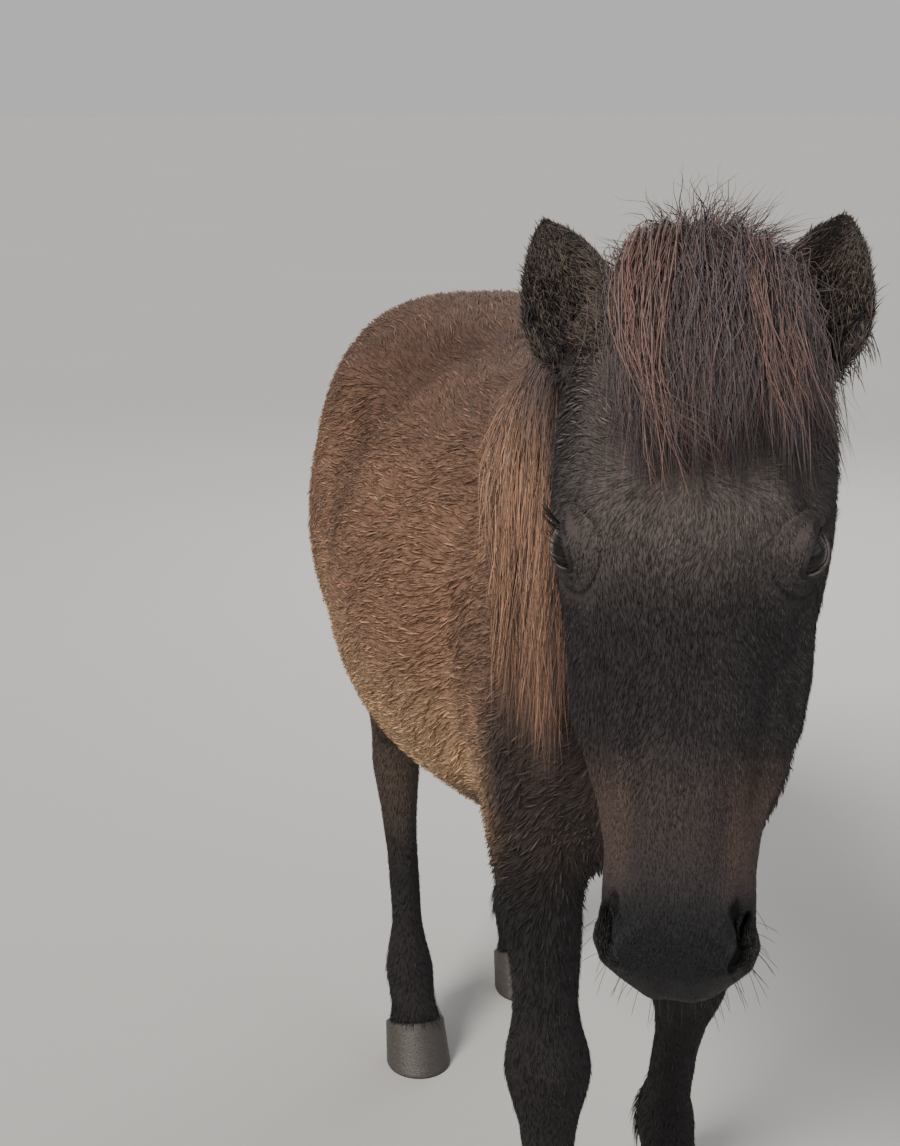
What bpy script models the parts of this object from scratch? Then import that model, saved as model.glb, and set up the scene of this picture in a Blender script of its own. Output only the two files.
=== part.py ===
"""A Shetland pony at life size, standing in mid-stride with its head turned to its right.

Metres, +Z up. The pony faces -Y and its left side is +X. The origin is on the ground, under the
middle of the model's box. Every body form is a loft: oval sections carried along a line.
"""

import math

import bmesh
import bpy
import numpy as np

# Driving sizes
WITHERS_HEIGHT = 0.928
CROUP_HEIGHT = 0.928
BACK_HEIGHT = 0.888
GIRTH_HEIGHT = 0.450
BARREL_HALF_WIDTH = 0.212
HEAD_TURN = math.radians(24)
HEAD_TILT = math.radians(20)
HEAD_ROLL = math.radians(1.5)
POLL = np.array([-0.071, -0.593, 1.009])
EYE_RADIUS = 0.0195
HOOF_HEIGHT = 0.045
CORONET_SLOPE = math.radians(18)
LEG_REACH = 0.20
GAP = 0.0003

# Long hair: the longest mane hair, how many locks each part has, and the seeds of their scatter
MANE_LENGTH = 0.42
MANE_LOCKS, FRINGE_LOCKS, FORELOCK_LOCKS, TAIL_LOCKS = 15, 10, 9, 10
MANE_SEED, FORELOCK_SEED, TAIL_SEED = 15, 12, 13

# How finely the fused body is worked, and how many triangles its pieces keep
FUSE_GRAIN = 0.0055
BODY_TRIANGLES = 6000
LOCKS_KEPT = 0.62

# Base colours, linear
COAT = (0.110, 0.066, 0.042)
NECK_COAT = (0.075, 0.047, 0.034)
FACE = (0.062, 0.042, 0.034)
POINTS = (0.028, 0.020, 0.018)
HORN = (0.035, 0.030, 0.028)
EYE = (0.010, 0.007, 0.006)
LONG_HAIR = (0.050, 0.028, 0.019)

# Torso: place along Y, top, underside and widest height, half width, and how pinched the
# section is above and below its widest height (1 is an ellipse)
TORSO = [
    (-0.445, 0.700, 0.660, 0.680, 0.020, 1.00, 1.00),
    (-0.432, 0.755, 0.595, 0.680, 0.070, 1.00, 1.00),
    (-0.390, 0.815, 0.535, 0.670, 0.098, 1.00, 1.00),
    (-0.310, 0.875, 0.490, 0.660, 0.127, 1.05, 1.00),
    (-0.205, WITHERS_HEIGHT, 0.465, 0.650, 0.157, 1.25, 1.00),
    (-0.100, 0.903, GIRTH_HEIGHT, 0.640, 0.188, 1.10, 0.95),
    (0.010, BACK_HEIGHT, 0.440, 0.635, 0.210, 1.00, 0.90),
    (0.120, 0.898, 0.445, 0.650, BARREL_HALF_WIDTH, 0.88, 0.90),
    (0.210, 0.917, 0.475, 0.680, 0.206, 0.74, 0.95),
    (0.290, CROUP_HEIGHT, 0.520, 0.715, 0.195, 0.68, 1.00),
    (0.380, 0.905, 0.580, 0.715, 0.175, 0.76, 1.00),
    (0.455, 0.862, 0.630, 0.710, 0.135, 1.00, 1.00),
    (0.510, 0.800, 0.670, 0.720, 0.085, 1.00, 1.00),
    (0.532, 0.755, 0.710, 0.730, 0.020, 1.00, 1.00),
]

# Neck: a point on the crest, the point under it, half width
NECK = [
    ((0.000, -0.100, 0.880), (0.000, -0.260, 0.500), 0.112),
    ((0.000, -0.205, 0.926), (0.000, -0.385, 0.560), 0.120),
    ((-0.006, -0.290, 0.962), (0.000, -0.432, 0.655), 0.108),
    ((-0.022, -0.380, 1.000), (-0.008, -0.462, 0.745), 0.090),
    ((-0.041, -0.465, 1.026), (-0.018, -0.492, 0.812), 0.077),
    ((-0.059, -0.545, 1.028), (-0.032, -0.520, 0.860), 0.068),
    ((-0.070, -0.590, 1.005), (-0.046, -0.545, 0.900), 0.045),
]

# Head, in its own axes: distance down from the poll, face line, jaw line and widest line
# (forward of the poll), half width, and how pinched the section is above and below
HEAD = [
    (-0.022, -0.040, -0.085, -0.060, 0.020, 1.00, 1.00),
    (-0.012, -0.015, -0.115, -0.060, 0.052, 1.00, 1.00),
    (0.015, 0.005, -0.140, -0.055, 0.078, 1.00, 1.00),
    (0.060, 0.022, -0.158, -0.050, 0.091, 1.00, 1.10),
    (0.110, 0.030, -0.168, -0.045, 0.094, 1.00, 1.15),
    (0.150, 0.030, -0.172, -0.045, 0.091, 1.00, 1.15),
    (0.190, 0.026, -0.170, -0.060, 0.083, 1.10, 1.10),
    (0.230, 0.021, -0.155, -0.072, 0.081, 1.15, 1.00),
    (0.270, 0.017, -0.130, -0.064, 0.074, 1.20, 1.00),
    (0.310, 0.014, -0.104, -0.045, 0.057, 1.10, 1.00),
    (0.345, 0.013, -0.093, -0.040, 0.050, 1.00, 1.00),
    (0.375, 0.012, -0.090, -0.038, 0.049, 0.95, 1.00),
    (0.400, 0.007, -0.088, -0.038, 0.050, 0.90, 1.00),
    (0.420, -0.006, -0.080, -0.040, 0.041, 0.90, 1.00),
    (0.436, -0.028, -0.062, -0.045, 0.018, 1.00, 1.00),
]

# Legs on the left side, standing square: a point on the leg's line, half width, depth in front
# and behind. The last row lies inside the hoof.
FORELEG = [
    (0.072, -0.260, 0.800, 0.035, 0.050, 0.060),
    (0.078, -0.275, 0.730, 0.052, 0.090, 0.100),
    (0.086, -0.285, 0.640, 0.053, 0.100, 0.100),
    (0.087, -0.275, 0.540, 0.047, 0.076, 0.080),
    (0.083, -0.280, 0.470, 0.041, 0.056, 0.056),
    (0.080, -0.285, 0.412, 0.034, 0.042, 0.040),
    (0.080, -0.288, 0.361, 0.032, 0.035, 0.034),
    (0.079, -0.290, 0.312, 0.043, 0.041, 0.036),
    (0.078, -0.288, 0.255, 0.029, 0.031, 0.033),
    (0.078, -0.285, 0.180, 0.026, 0.028, 0.032),
    (0.078, -0.283, 0.130, 0.028, 0.030, 0.034),
    (0.078, -0.285, 0.098, 0.034, 0.035, 0.043),
    (0.078, -0.303, 0.064, 0.029, 0.030, 0.031),
    (0.078, -0.318, 0.042, 0.035, 0.038, 0.036),
    (0.078, -0.324, 0.028, 0.034, 0.038, 0.036),
]
HINDLEG = [
    (0.080, 0.360, 0.840, 0.045, 0.060, 0.060),
    (0.098, 0.360, 0.780, 0.068, 0.110, 0.120),
    (0.112, 0.352, 0.680, 0.080, 0.135, 0.140),
    (0.112, 0.335, 0.580, 0.074, 0.120, 0.118),
    (0.104, 0.335, 0.500, 0.052, 0.080, 0.082),
    (0.097, 0.355, 0.435, 0.037, 0.052, 0.060),
    (0.093, 0.385, 0.390, 0.030, 0.036, 0.054),
    (0.091, 0.400, 0.345, 0.031, 0.037, 0.052),
    (0.089, 0.405, 0.285, 0.024, 0.033, 0.036),
    (0.087, 0.405, 0.200, 0.022, 0.030, 0.030),
    (0.086, 0.402, 0.135, 0.024, 0.030, 0.033),
    (0.086, 0.395, 0.098, 0.032, 0.034, 0.043),
    (0.086, 0.375, 0.064, 0.029, 0.030, 0.031),
    (0.086, 0.362, 0.042, 0.035, 0.038, 0.036),
    (0.086, 0.356, 0.028, 0.034, 0.038, 0.036),
]

# The stride: how far each hoof is swung back (or forward, below zero) and out, from SWING_TOP down
SWING_TOP = 0.60
SWING_END = 0.10
LEGS = {
    "foreleg_right": (FORELEG, -1, -0.030, 0.000),
    "foreleg_left": (FORELEG, 1, 0.195, 0.034),
    "hindleg_right": (HINDLEG, -1, -0.100, 0.000),
    "hindleg_left": (HINDLEG, 1, 0.050, 0.000),
}

# Where the body is parted, as outlines in the plane of Y and Z
HEAD_CUT = [
    (-0.535, 1.120),
    (-0.520, 1.030),
    (-0.480, 0.797),
    (-0.503, 0.740),
    (-0.503, 0.300),
    (-1.100, 0.300),
    (-1.100, 1.120),
]
NECK_CUT = [
    (-0.210, 1.150),
    (-0.210, 0.970),
    (-0.455, 0.715),
    (-0.540, 0.690),
    (-0.800, 0.690),
    (-0.800, 1.150),
]
FORELEG_CUT = [
    (-0.600, 0.448),
    (-0.125, 0.448),
    (-0.020, 0.410),
    (0.000, -0.100),
    (-0.600, -0.100),
]
HINDLEG_CUT = [
    (0.195, 0.465),
    (0.600, 0.465),
    (0.600, -0.100),
    (0.060, -0.100),
    (0.100, 0.410),
]

# Tail: place along Y, height, half width, half depth
TAIL = [
    (0.500, 0.805, 0.022, 0.022),
    (0.538, 0.797, 0.030, 0.028),
    (0.566, 0.757, 0.040, 0.034),
    (0.578, 0.690, 0.052, 0.042),
    (0.580, 0.600, 0.064, 0.046),
    (0.575, 0.490, 0.068, 0.046),
    (0.568, 0.390, 0.060, 0.040),
    (0.561, 0.310, 0.042, 0.028),
    (0.556, 0.245, 0.012, 0.010),
]


# Curves and lofts


def smooth_line(knots, count):
    """A smooth curve through the knots, at even steps of the distance between their places."""
    knots = np.asarray(knots, float)
    gaps = np.linalg.norm(np.diff(knots[:, :3], axis=0), axis=1)
    at_knot = np.concatenate([[0], np.cumsum(gaps)])
    slope = np.gradient(knots, at_knot, axis=0)
    at = np.linspace(0, at_knot[-1], count)
    i = np.clip(np.searchsorted(at_knot, at, side="right") - 1, 0, len(at_knot) - 2)
    step = (at_knot[i + 1] - at_knot[i])[:, None]
    s = (at - at_knot[i])[:, None] / step
    return (
        knots[i] * (1 + 2 * s) * (1 - s) ** 2
        + slope[i] * step * s * (1 - s) ** 2
        + knots[i + 1] * s * s * (3 - 2 * s)
        + slope[i + 1] * step * s * s * (s - 1)
    )


def unit(vectors):
    return vectors / np.linalg.norm(vectors, axis=-1, keepdims=True)


def ovals(centre, side, up, width, rise, drop, top_pinch, low_pinch, corners):
    """One oval ring at each centre: half width along side, rise above and drop below along up."""
    angle = np.linspace(0, 2 * np.pi, corners, endpoint=False)
    across, height = np.cos(angle), np.sin(angle)
    pinch = np.where(height > 0, top_pinch[:, None], low_pinch[:, None])
    across = np.sign(across) * np.abs(across) ** pinch * width[:, None]
    height = np.where(height > 0, rise[:, None], drop[:, None]) * height
    return centre[:, None] + across[..., None] * side[:, None] + height[..., None] * up[:, None]


def skin_rings(rings):
    """Points and faces of a closed skin over rings, with a fan of triangles on each end."""
    count, corners, _ = rings.shape
    points = np.concatenate([rings.reshape(-1, 3), rings[:1].mean(1), rings[-1:].mean(1)])
    faces = []
    for i in range(count - 1):
        for j in range(corners):
            k = (j + 1) % corners
            a, b = i * corners, (i + 1) * corners
            faces.append((a + j, a + k, b + k, b + j))
    last = (count - 1) * corners
    for j in range(corners):
        k = (j + 1) % corners
        faces.append((k, j, count * corners))
        faces.append((last + j, last + k, count * corners + 1))
    return points, faces


def solid(name, points, faces):
    """A mesh object of one closed skin, with its faces turned outwards."""
    mesh = bpy.data.meshes.new(name)
    mesh.from_pydata([tuple(p) for p in points], [], faces)
    work = bmesh.new()
    work.from_mesh(mesh)
    bmesh.ops.triangulate(work, faces=work.faces)
    bmesh.ops.recalc_face_normals(work, faces=work.faces)
    if work.calc_volume(signed=True) < 0:
        bmesh.ops.reverse_faces(work, faces=work.faces)
    work.to_mesh(mesh)
    work.free()
    made = bpy.data.objects.new(name, mesh)
    bpy.context.scene.collection.objects.link(made)
    return made


def torso_form():
    knots = np.array(TORSO)
    blank = np.zeros(len(knots))
    line = smooth_line(np.column_stack([blank, knots[:, 0], blank, knots[:, 1:]]), 44)
    y, top, low, wide, width, top_pinch, low_pinch = line[:, 1], *line[:, 3:].T
    centre = np.column_stack([0 * y, y, wide])
    side = np.tile([1.0, 0, 0], (len(y), 1))
    up = np.tile([0, 0, 1.0], (len(y), 1))
    return skin_rings(ovals(centre, side, up, width, top - wide, wide - low, top_pinch, low_pinch, 44))


def neck_form():
    knots = np.array([[*crest, *under, width] for crest, under, width in NECK])
    middle = (knots[:, :3] + knots[:, 3:6]) / 2
    line = smooth_line(np.column_stack([middle, knots[:, 3:]]), 26)
    middle, under, width = line[:, :3], line[:, 3:6], line[:, 6]
    height = np.linalg.norm(middle - under, axis=1)
    up = unit(middle - under)
    side = unit(np.cross(np.gradient(middle, axis=0), up))
    side *= np.sign(side[:, :1])
    pinch = np.full(len(line), 1.2)
    return skin_rings(ovals(middle, side, up, width, height, height, pinch, pinch / 1.2, 36))


def head_axes():
    """Unit vectors down the face, out of the forehead and to the pony's left."""
    heading = np.array([-math.sin(HEAD_TURN), -math.cos(HEAD_TURN), 0])
    plumb = np.array([0, 0, 1.0])
    down = math.sin(HEAD_TILT) * heading - math.cos(HEAD_TILT) * plumb
    out = math.cos(HEAD_TILT) * heading + math.sin(HEAD_TILT) * plumb
    left = np.cross(out, down)
    left *= np.sign(left[0])
    rolled = down * math.cos(HEAD_ROLL) + left * math.sin(HEAD_ROLL)
    return rolled, out, left * math.cos(HEAD_ROLL) - down * math.sin(HEAD_ROLL)


DOWN, OUT, LEFT = head_axes()


def on_head(down, out, left):
    """The point at these distances down, out and left of the poll."""
    down, out, left = np.broadcast_arrays(down, out, left)
    return POLL + down[..., None] * DOWN + out[..., None] * OUT + left[..., None] * LEFT


def head_form():
    knots = np.array(HEAD)
    blank = np.zeros(len(knots))
    line = smooth_line(np.column_stack([knots[:, 0], blank, blank, knots[:, 1:]]), 60)
    down, face, jaw, wide, width, top_pinch, low_pinch = line[:, 0], *line[:, 3:].T
    centre = on_head(down, wide, 0 * down)
    side, up = np.tile(LEFT, (len(down), 1)), np.tile(OUT, (len(down), 1))
    return skin_rings(ovals(centre, side, up, width, face - wide, wide - jaw, top_pinch, low_pinch, 48))


def swing_share(height):
    """How much of a leg's swing a point at this height takes: none at SWING_TOP, all at SWING_END."""
    return np.clip((SWING_TOP - height) / (SWING_TOP - SWING_END), 0, 1)


def leg_form(name):
    knots, sign, swing, spread = LEGS[name]
    line = smooth_line(knots, 44)
    share = swing_share(line[:, 2])
    centre = line[:, :3] + np.column_stack([spread * share, swing * share, 0 * share])
    centre[:, 0] *= sign
    along = unit(np.gradient(centre, axis=0))
    side = np.tile([1.0, 0, 0], (len(line), 1))
    front = unit(np.cross(side, along))
    front *= -np.sign(front[:, 1:2])
    even = np.ones(len(line))
    return skin_rings(ovals(centre, side, front, line[:, 3], line[:, 4], line[:, 5], even, even, 24))


# Soft modelling on the fused body


def baked(obj):
    """The object's mesh as its modifiers leave it, with the modifiers removed."""
    graph = bpy.context.evaluated_depsgraph_get()
    mesh = bpy.data.meshes.new_from_object(obj.evaluated_get(graph))
    obj.modifiers.clear()
    obj.data = mesh
    return obj


def read_points(mesh):
    points = np.empty(len(mesh.vertices) * 3)
    mesh.vertices.foreach_get("co", points)
    return points.reshape(-1, 3)


def write_points(mesh, points):
    mesh.vertices.foreach_set("co", np.asarray(points, np.float32).ravel())
    mesh.update()


def read_normals(mesh):
    normals = np.empty(len(mesh.vertices) * 3)
    mesh.vertices.foreach_get("normal", normals)
    return normals.reshape(-1, 3)


def relax(mesh, rounds, weight, back=0.0):
    """Moves each point towards the middle of its neighbours, then a share back, by its weight."""
    points = read_points(mesh)
    edges = np.empty(len(mesh.edges) * 2, int)
    mesh.edges.foreach_get("vertices", edges)
    first, second = edges.reshape(-1, 2).T
    count = np.bincount(edges, minlength=len(points))[:, None]
    for share in [0.5, -back] * rounds:
        if share:
            total = np.column_stack([
                np.bincount(first, points[second, axis], len(points))
                + np.bincount(second, points[first, axis], len(points))
                for axis in range(3)
            ])
            points += share * weight(points)[:, None] * (total / count - points)
    write_points(mesh, points)


def smoothstep(low, high, value):
    s = np.clip((value - low) / (high - low), 0, 1)
    return s * s * (3 - 2 * s)


def distance_to_line(points, line):
    """Each point's distance to a line of straight pieces."""
    best = np.full(len(points), 9.0)
    for start, end in zip(line[:-1], line[1:]):
        piece = end - start
        share = np.clip((points - start) @ piece / (piece @ piece), 0, 1)
        best = np.minimum(best, np.linalg.norm(points - start - share[:, None] * piece, axis=1))
    return best


def swell(points, normals, line, reach, height):
    """The points raised along their normals near a line, by height fading over reach."""
    line = np.array(line, float)
    if len(line) == 1:
        line = np.concatenate([line, line + 1e-6])
    near = distance_to_line(points, line)
    return points + normals * (height * np.exp(-((near / reach) ** 2)))[:, None]


def swung(name, x, y, z):
    """A place on a leg, given as if the leg stood square."""
    _, sign, swing, spread = LEGS[name]
    share = float(swing_share(np.array(z)))
    return (sign * (x + spread * share), y + swing * share, z)


def body_details():
    """Lines on the body under which bone and muscle show: line, reach, height."""
    lines = []
    for name, (_, sign, _, _) in LEGS.items():
        if name.startswith("fore"):
            lines += [
                ([(sign * 0.090, -0.410, 0.640), (sign * 0.085, -0.400, 0.600)], 0.045, 0.008),
                ([(sign * 0.060, -0.235, 0.880), (sign * 0.115, -0.330, 0.700)], 0.040, 0.004),
                ([(sign * 0.165, -0.200, 0.700), (sign * 0.140, -0.190, 0.560)], 0.035, -0.007),
                ([swung(name, 0.100, -0.205, 0.500)], 0.028, 0.009),
                ([swung(name, 0.079, -0.335, 0.317)], 0.020, 0.004),
                ([swung(name, 0.079, -0.250, 0.332)], 0.014, 0.006),
                ([swung(name, 0.106, -0.290, 0.22), swung(name, 0.104, -0.285, 0.14)], 0.010, -0.004),
                ([swung(name, 0.052, -0.290, 0.22), swung(name, 0.054, -0.285, 0.14)], 0.010, -0.004),
                ([swung(name, 0.078, -0.240, 0.095)], 0.016, 0.006),
            ]
        else:
            lines += [
                ([(sign * 0.150, 0.205, 0.850)], 0.040, 0.009),
                ([(sign * 0.185, 0.175, 0.780), (sign * 0.190, 0.205, 0.620)], 0.050, -0.014),
                ([(sign * 0.125, 0.235, 0.560)], 0.040, 0.010),
                ([(sign * 0.130, 0.460, 0.780), (sign * 0.140, 0.430, 0.620)], 0.050, 0.006),
                ([swung(name, 0.135, 0.400, 0.46), swung(name, 0.12, 0.425, 0.40)], 0.016, -0.007),
                ([swung(name, 0.055, 0.400, 0.46), swung(name, 0.06, 0.425, 0.40)], 0.016, -0.007),
                ([swung(name, 0.092, 0.447, 0.385)], 0.018, 0.008),
                ([swung(name, 0.115, 0.420, 0.24), swung(name, 0.112, 0.412, 0.15)], 0.010, -0.004),
                ([swung(name, 0.060, 0.420, 0.24), swung(name, 0.060, 0.412, 0.15)], 0.010, -0.004),
                ([swung(name, 0.086, 0.440, 0.092)], 0.016, 0.006),
            ]
    lines += [
        ([(0, -0.450, 0.680), (0, -0.430, 0.560)], 0.022, -0.010),
        ([(0, -0.200, 0.930), (0, -0.120, 0.915)], 0.035, 0.006),
        ([(0, 0.520, 0.830), (0, 0.560, 0.790)], 0.035, 0.010),
    ]
    return lines


def face_details():
    """Lines on the head: brow, hollow over the eye, facial crest, nasal groove, jaw, lips, chin."""
    lines = []
    for side in (-1, 1):
        for places, reach, height in (
            ([(0.112, 0.020, 0.066), (0.135, 0.016, 0.078), (0.162, 0.006, 0.080)], 0.011, 0.006),
            ([(0.100, 0.004, 0.076), (0.118, -0.004, 0.084)], 0.014, -0.005),
            ([(0.188, -0.014, 0.078), (0.215, -0.020, 0.074)], 0.012, -0.003),
            ([(0.178, -0.035, 0.085), (0.262, -0.045, 0.073)], 0.009, 0.004),
            ([(0.235, -0.008, 0.062), (0.310, -0.016, 0.054)], 0.012, -0.005),
            ([(0.290, 0.012, 0.020), (0.350, 0.012, 0.018)], 0.012, 0.003),
            ([(0.265, -0.070, 0.070), (0.320, -0.070, 0.055)], 0.018, -0.006),
            ([(0.362, 0.004, 0.034), (0.385, 0.006, 0.032), (0.408, -0.006, 0.030)], 0.008, 0.005),
            ([(0.362, -0.016, 0.052), (0.385, -0.018, 0.052), (0.408, -0.022, 0.044)], 0.009, 0.004),
            ([(0.368, -0.060, 0.052)], 0.012, 0.003),
        ):
            lines.append(([on_head(a, b, side * c) for a, b, c in places], reach, height))
    for places, reach, height in (
        ([(0.408, -0.086, -0.018), (0.408, -0.086, 0.018)], 0.016, 0.006),
        ([(0.385, -0.094, -0.02), (0.385, -0.094, 0.02)], 0.010, -0.003),
        ([(0.430, -0.012, 0.0), (0.438, -0.030, 0.0)], 0.007, -0.003),
        ([(0.080, 0.026, 0.0), (0.150, 0.032, 0.0)], 0.030, 0.003),
    ):
        lines.append(([on_head(a, b, c) for a, b, c in places], reach, height))
    return lines


def joined(name, forms):
    """One mesh object holding several closed skins."""
    points, faces, first = [], [], 0
    for form_points, form_faces in forms:
        points.append(form_points)
        faces += [tuple(i + first for i in face) for face in form_faces]
        first += len(form_points)
    return solid(name, np.concatenate(points), faces)


def fused_body():
    forms = [torso_form(), neck_form(), head_form()] + [leg_form(name) for name in LEGS]
    body = joined("body", forms)
    fuse = body.modifiers.new("fuse", "REMESH")
    fuse.mode = "VOXEL"
    fuse.voxel_size = FUSE_GRAIN
    baked(body)

    def on_trunk(points):
        """Full on the trunk and the tops of the legs, none on the head and the lower legs."""
        behind_head = smoothstep(-0.52, -0.46, points[:, 1])
        return behind_head * smoothstep(0.40, 0.50, points[:, 2])

    relax(body.data, 4, lambda points: np.ones(len(points)), 0.52)
    relax(body.data, 40, on_trunk)
    points = read_points(body.data)
    for lines in (body_details(), face_details()):
        normals = read_normals(body.data)
        for line, reach, height in lines:
            points = swell(points, normals, line, reach, height)
        write_points(body.data, points)
    relax(body.data, 3, lambda points: np.ones(len(points)), 0.52)
    return thinned(body, BODY_TRIANGLES / (2 * len(body.data.polygons)))


# Cutting and joining


def block(name, low, high, turn=None, at=None):
    """A box between two corners, or the same box turned and moved."""
    (x0, y0, z0), (x1, y1, z1) = low, high
    corners = np.array([(x, y, z) for x in (x0, x1) for y in (y0, y1) for z in (z0, z1)], float)
    if turn is not None:
        corners = corners @ np.asarray(turn) + np.asarray(at)
    faces = [(0, 1, 3, 2), (4, 6, 7, 5), (0, 4, 5, 1), (2, 3, 7, 6), (0, 2, 6, 4), (1, 5, 7, 3)]
    return solid(name, corners, faces)


def cut(target, operation, tool, solver="EXACT"):
    """Applies one Boolean to the target and removes the tool."""
    step = target.modifiers.new("cut", "BOOLEAN")
    step.operation = operation
    step.object = tool
    step.solver = solver
    target.modifiers.new("triangles", "TRIANGULATE")
    baked(target)
    bpy.data.objects.remove(tool)
    return target


def cut_with_all(target, operation, tools):
    """Applies one Boolean with all the tools at once to the target and removes them."""
    group = bpy.data.collections.new(target.name + "_tools")
    for tool in tools:
        bpy.context.scene.collection.objects.unlink(tool)
        group.objects.link(tool)
    bpy.context.scene.collection.children.link(group)
    step = target.modifiers.new("cut", "BOOLEAN")
    step.operation = operation
    step.operand_type = "COLLECTION"
    step.collection = group
    step.solver = "MANIFOLD"
    target.modifiers.new("triangles", "TRIANGULATE")
    baked(target)
    for tool in tools:
        bpy.data.objects.remove(tool)
    bpy.data.collections.remove(group)
    return largest_skin(target)


def copied(source, name):
    made = source.copy()
    made.data = source.data.copy()
    made.name = name
    bpy.context.scene.collection.objects.link(made)
    return made


def grown(source, name, by):
    """A copy of the source with its skin moved outwards."""
    made = copied(source, name)
    write_points(made.data, read_points(made.data) + by * read_normals(made.data))
    return made


def largest_skin(obj):
    """Keeps the largest closed surface of a mesh and drops loose scraps and sealed hollows."""
    work = bmesh.new()
    work.from_mesh(obj.data)
    left = set(work.verts)
    shells = []
    while left:
        shell, front = set(), [left.pop()]
        while front:
            vert = front.pop()
            shell.add(vert)
            for edge in vert.link_edges:
                other = edge.other_vert(vert)
                if other in left:
                    left.discard(other)
                    front.append(other)
        shells.append(shell)
    shells.sort(key=lambda shell: max((v.co - w.co).length for v in list(shell)[:1] for w in shell))
    for shell in shells[:-1]:
        bmesh.ops.delete(work, geom=list(shell), context="VERTS")
    bmesh.ops.triangulate(work, faces=work.faces)
    work.to_mesh(obj.data)
    work.free()
    return obj


def thinned(obj, ratio):
    """The same form with this share of its triangles, dropping those that shape it least."""
    thin = obj.modifiers.new("thin", "DECIMATE")
    thin.ratio = ratio
    thin.use_collapse_triangulate = True
    return baked(obj)


def evened(obj, grain, triangles):
    """The same form as one clean skin of about this many triangles."""
    even = obj.modifiers.new("even", "REMESH")
    even.mode = "VOXEL"
    even.voxel_size = grain
    baked(obj)
    relax(obj.data, 3, lambda points: np.ones(len(points)), 0.52)
    return thinned(obj, triangles / (2 * len(obj.data.polygons)))


def part_off(body, name, tool):
    """The share of the body inside the tool as a new node, with a gap left on the body's side."""
    wider = grown(tool, "wider", 1.7 * GAP)
    node = cut(copied(body, name), "INTERSECT", tool)
    cut(body, "DIFFERENCE", wider)
    return node


def plane_block(through, normal, across, size, shift=0.0):
    """A box that starts on a plane, shifted along its normal, and lies on the normal's side."""
    normal = unit(np.asarray(normal, float))
    across = np.asarray(across, float)
    across = unit(across - np.dot(across, normal) * normal)
    third = np.cross(normal, across)
    wide, tall, deep = size
    low, high = (-wide, -tall, shift), (wide, tall, deep)
    return block("half", low, high, np.array([across, third, normal]), through)


def prism(outline, across, reach, middle=0.0):
    """A tool with this outline in a plane of Y and Z, carried both ways along a direction."""
    outline = np.array([(middle, y, z) for y, z in outline], float)
    across = unit(np.asarray(across, float)) * reach
    points = np.concatenate([outline - across, outline + across])
    count = len(outline)
    faces = [tuple(range(count)), tuple(range(count, 2 * count))]
    for i in range(count):
        k = (i + 1) % count
        faces.append((i, k, k + count, i + count))
    return solid("prism", points, faces)


# Head pieces


def gaze(sign):
    """An eye's centre, where it looks, and its long and short axes."""
    centre = on_head(0.150, -0.0125, sign * 0.0665)
    look = unit(sign * 0.86 * LEFT + 0.50 * OUT + 0.06 * DOWN)
    long = 0.86 * DOWN + 0.42 * OUT
    long = unit(long - np.dot(long, look) * look)
    return centre, look, long, np.cross(look, long)


def ball(name, centre, radius):
    work = bmesh.new()
    bmesh.ops.create_icosphere(work, subdivisions=3, radius=radius)
    mesh = bpy.data.meshes.new(name)
    work.to_mesh(mesh)
    work.free()
    made = bpy.data.objects.new(name, mesh)
    bpy.context.scene.collection.objects.link(made)
    write_points(mesh, read_points(mesh) + centre)
    return made


def lid_form(sign):
    """A rolled rim round the eye's almond opening. Its corners are (spread, radius) pairs, and
    spread 0 is the opening's edge."""
    centre, look, long, short = gaze(sign)
    round_eye = np.linspace(0, 2 * np.pi, 18, endpoint=False)
    section = ((0.00, 0.6), (0.05, 3.0), (0.30, 4.2), (0.62, 1.6), (0.62, -6.0), (0.10, -6.0))
    rings = np.empty((18, len(section), 3))
    for j, (spread, rise) in enumerate(section):
        wide = 0.78 + spread
        tall = np.where(np.sin(round_eye) > 0, 0.40, 0.36) + spread
        along = wide * np.cos(round_eye)
        above = tall * np.sin(round_eye) * (1 - 0.15 * np.cos(round_eye) ** 2)
        angle = np.hypot(along, above)
        turn = along[:, None] * long + above[:, None] * short
        direction = np.cos(angle)[:, None] * look + (np.sin(angle) / angle)[:, None] * turn
        rings[:, j] = centre + direction * (EYE_RADIUS + rise * 0.001)
    count, corners = rings.shape[:2]
    faces = []
    for i in range(count):
        for j in range(corners):
            n, k = (i + 1) % count, (j + 1) % corners
            faces.append((i * corners + j, i * corners + k, n * corners + k, n * corners + j))
    return rings.reshape(-1, 3), faces


def nostril_form(sign):
    """A pocket that narrows from the wing of the nostril inwards and up."""
    path = smooth_line([
        (0.388, -0.010, 0.060),
        (0.386, -0.014, 0.046),
        (0.378, -0.022, 0.036),
        (0.362, -0.028, 0.028),
    ], 5)
    size = np.linspace(1.15, 0.35, 5)
    centre = on_head(path[:, 0], path[:, 1], sign * path[:, 2])
    along = unit(np.gradient(centre, axis=0))
    long = unit(0.93 * DOWN - sign * 0.30 * LEFT - 0.10 * OUT)
    long = unit(long - (along @ long)[:, None] * along)
    short = np.cross(along, long)
    short *= sign
    even = np.ones(5)
    return skin_rings(ovals(centre, long, short, 0.0155 * size, 0.0065 * size, 0.0045 * size, even, even, 10))


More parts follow.
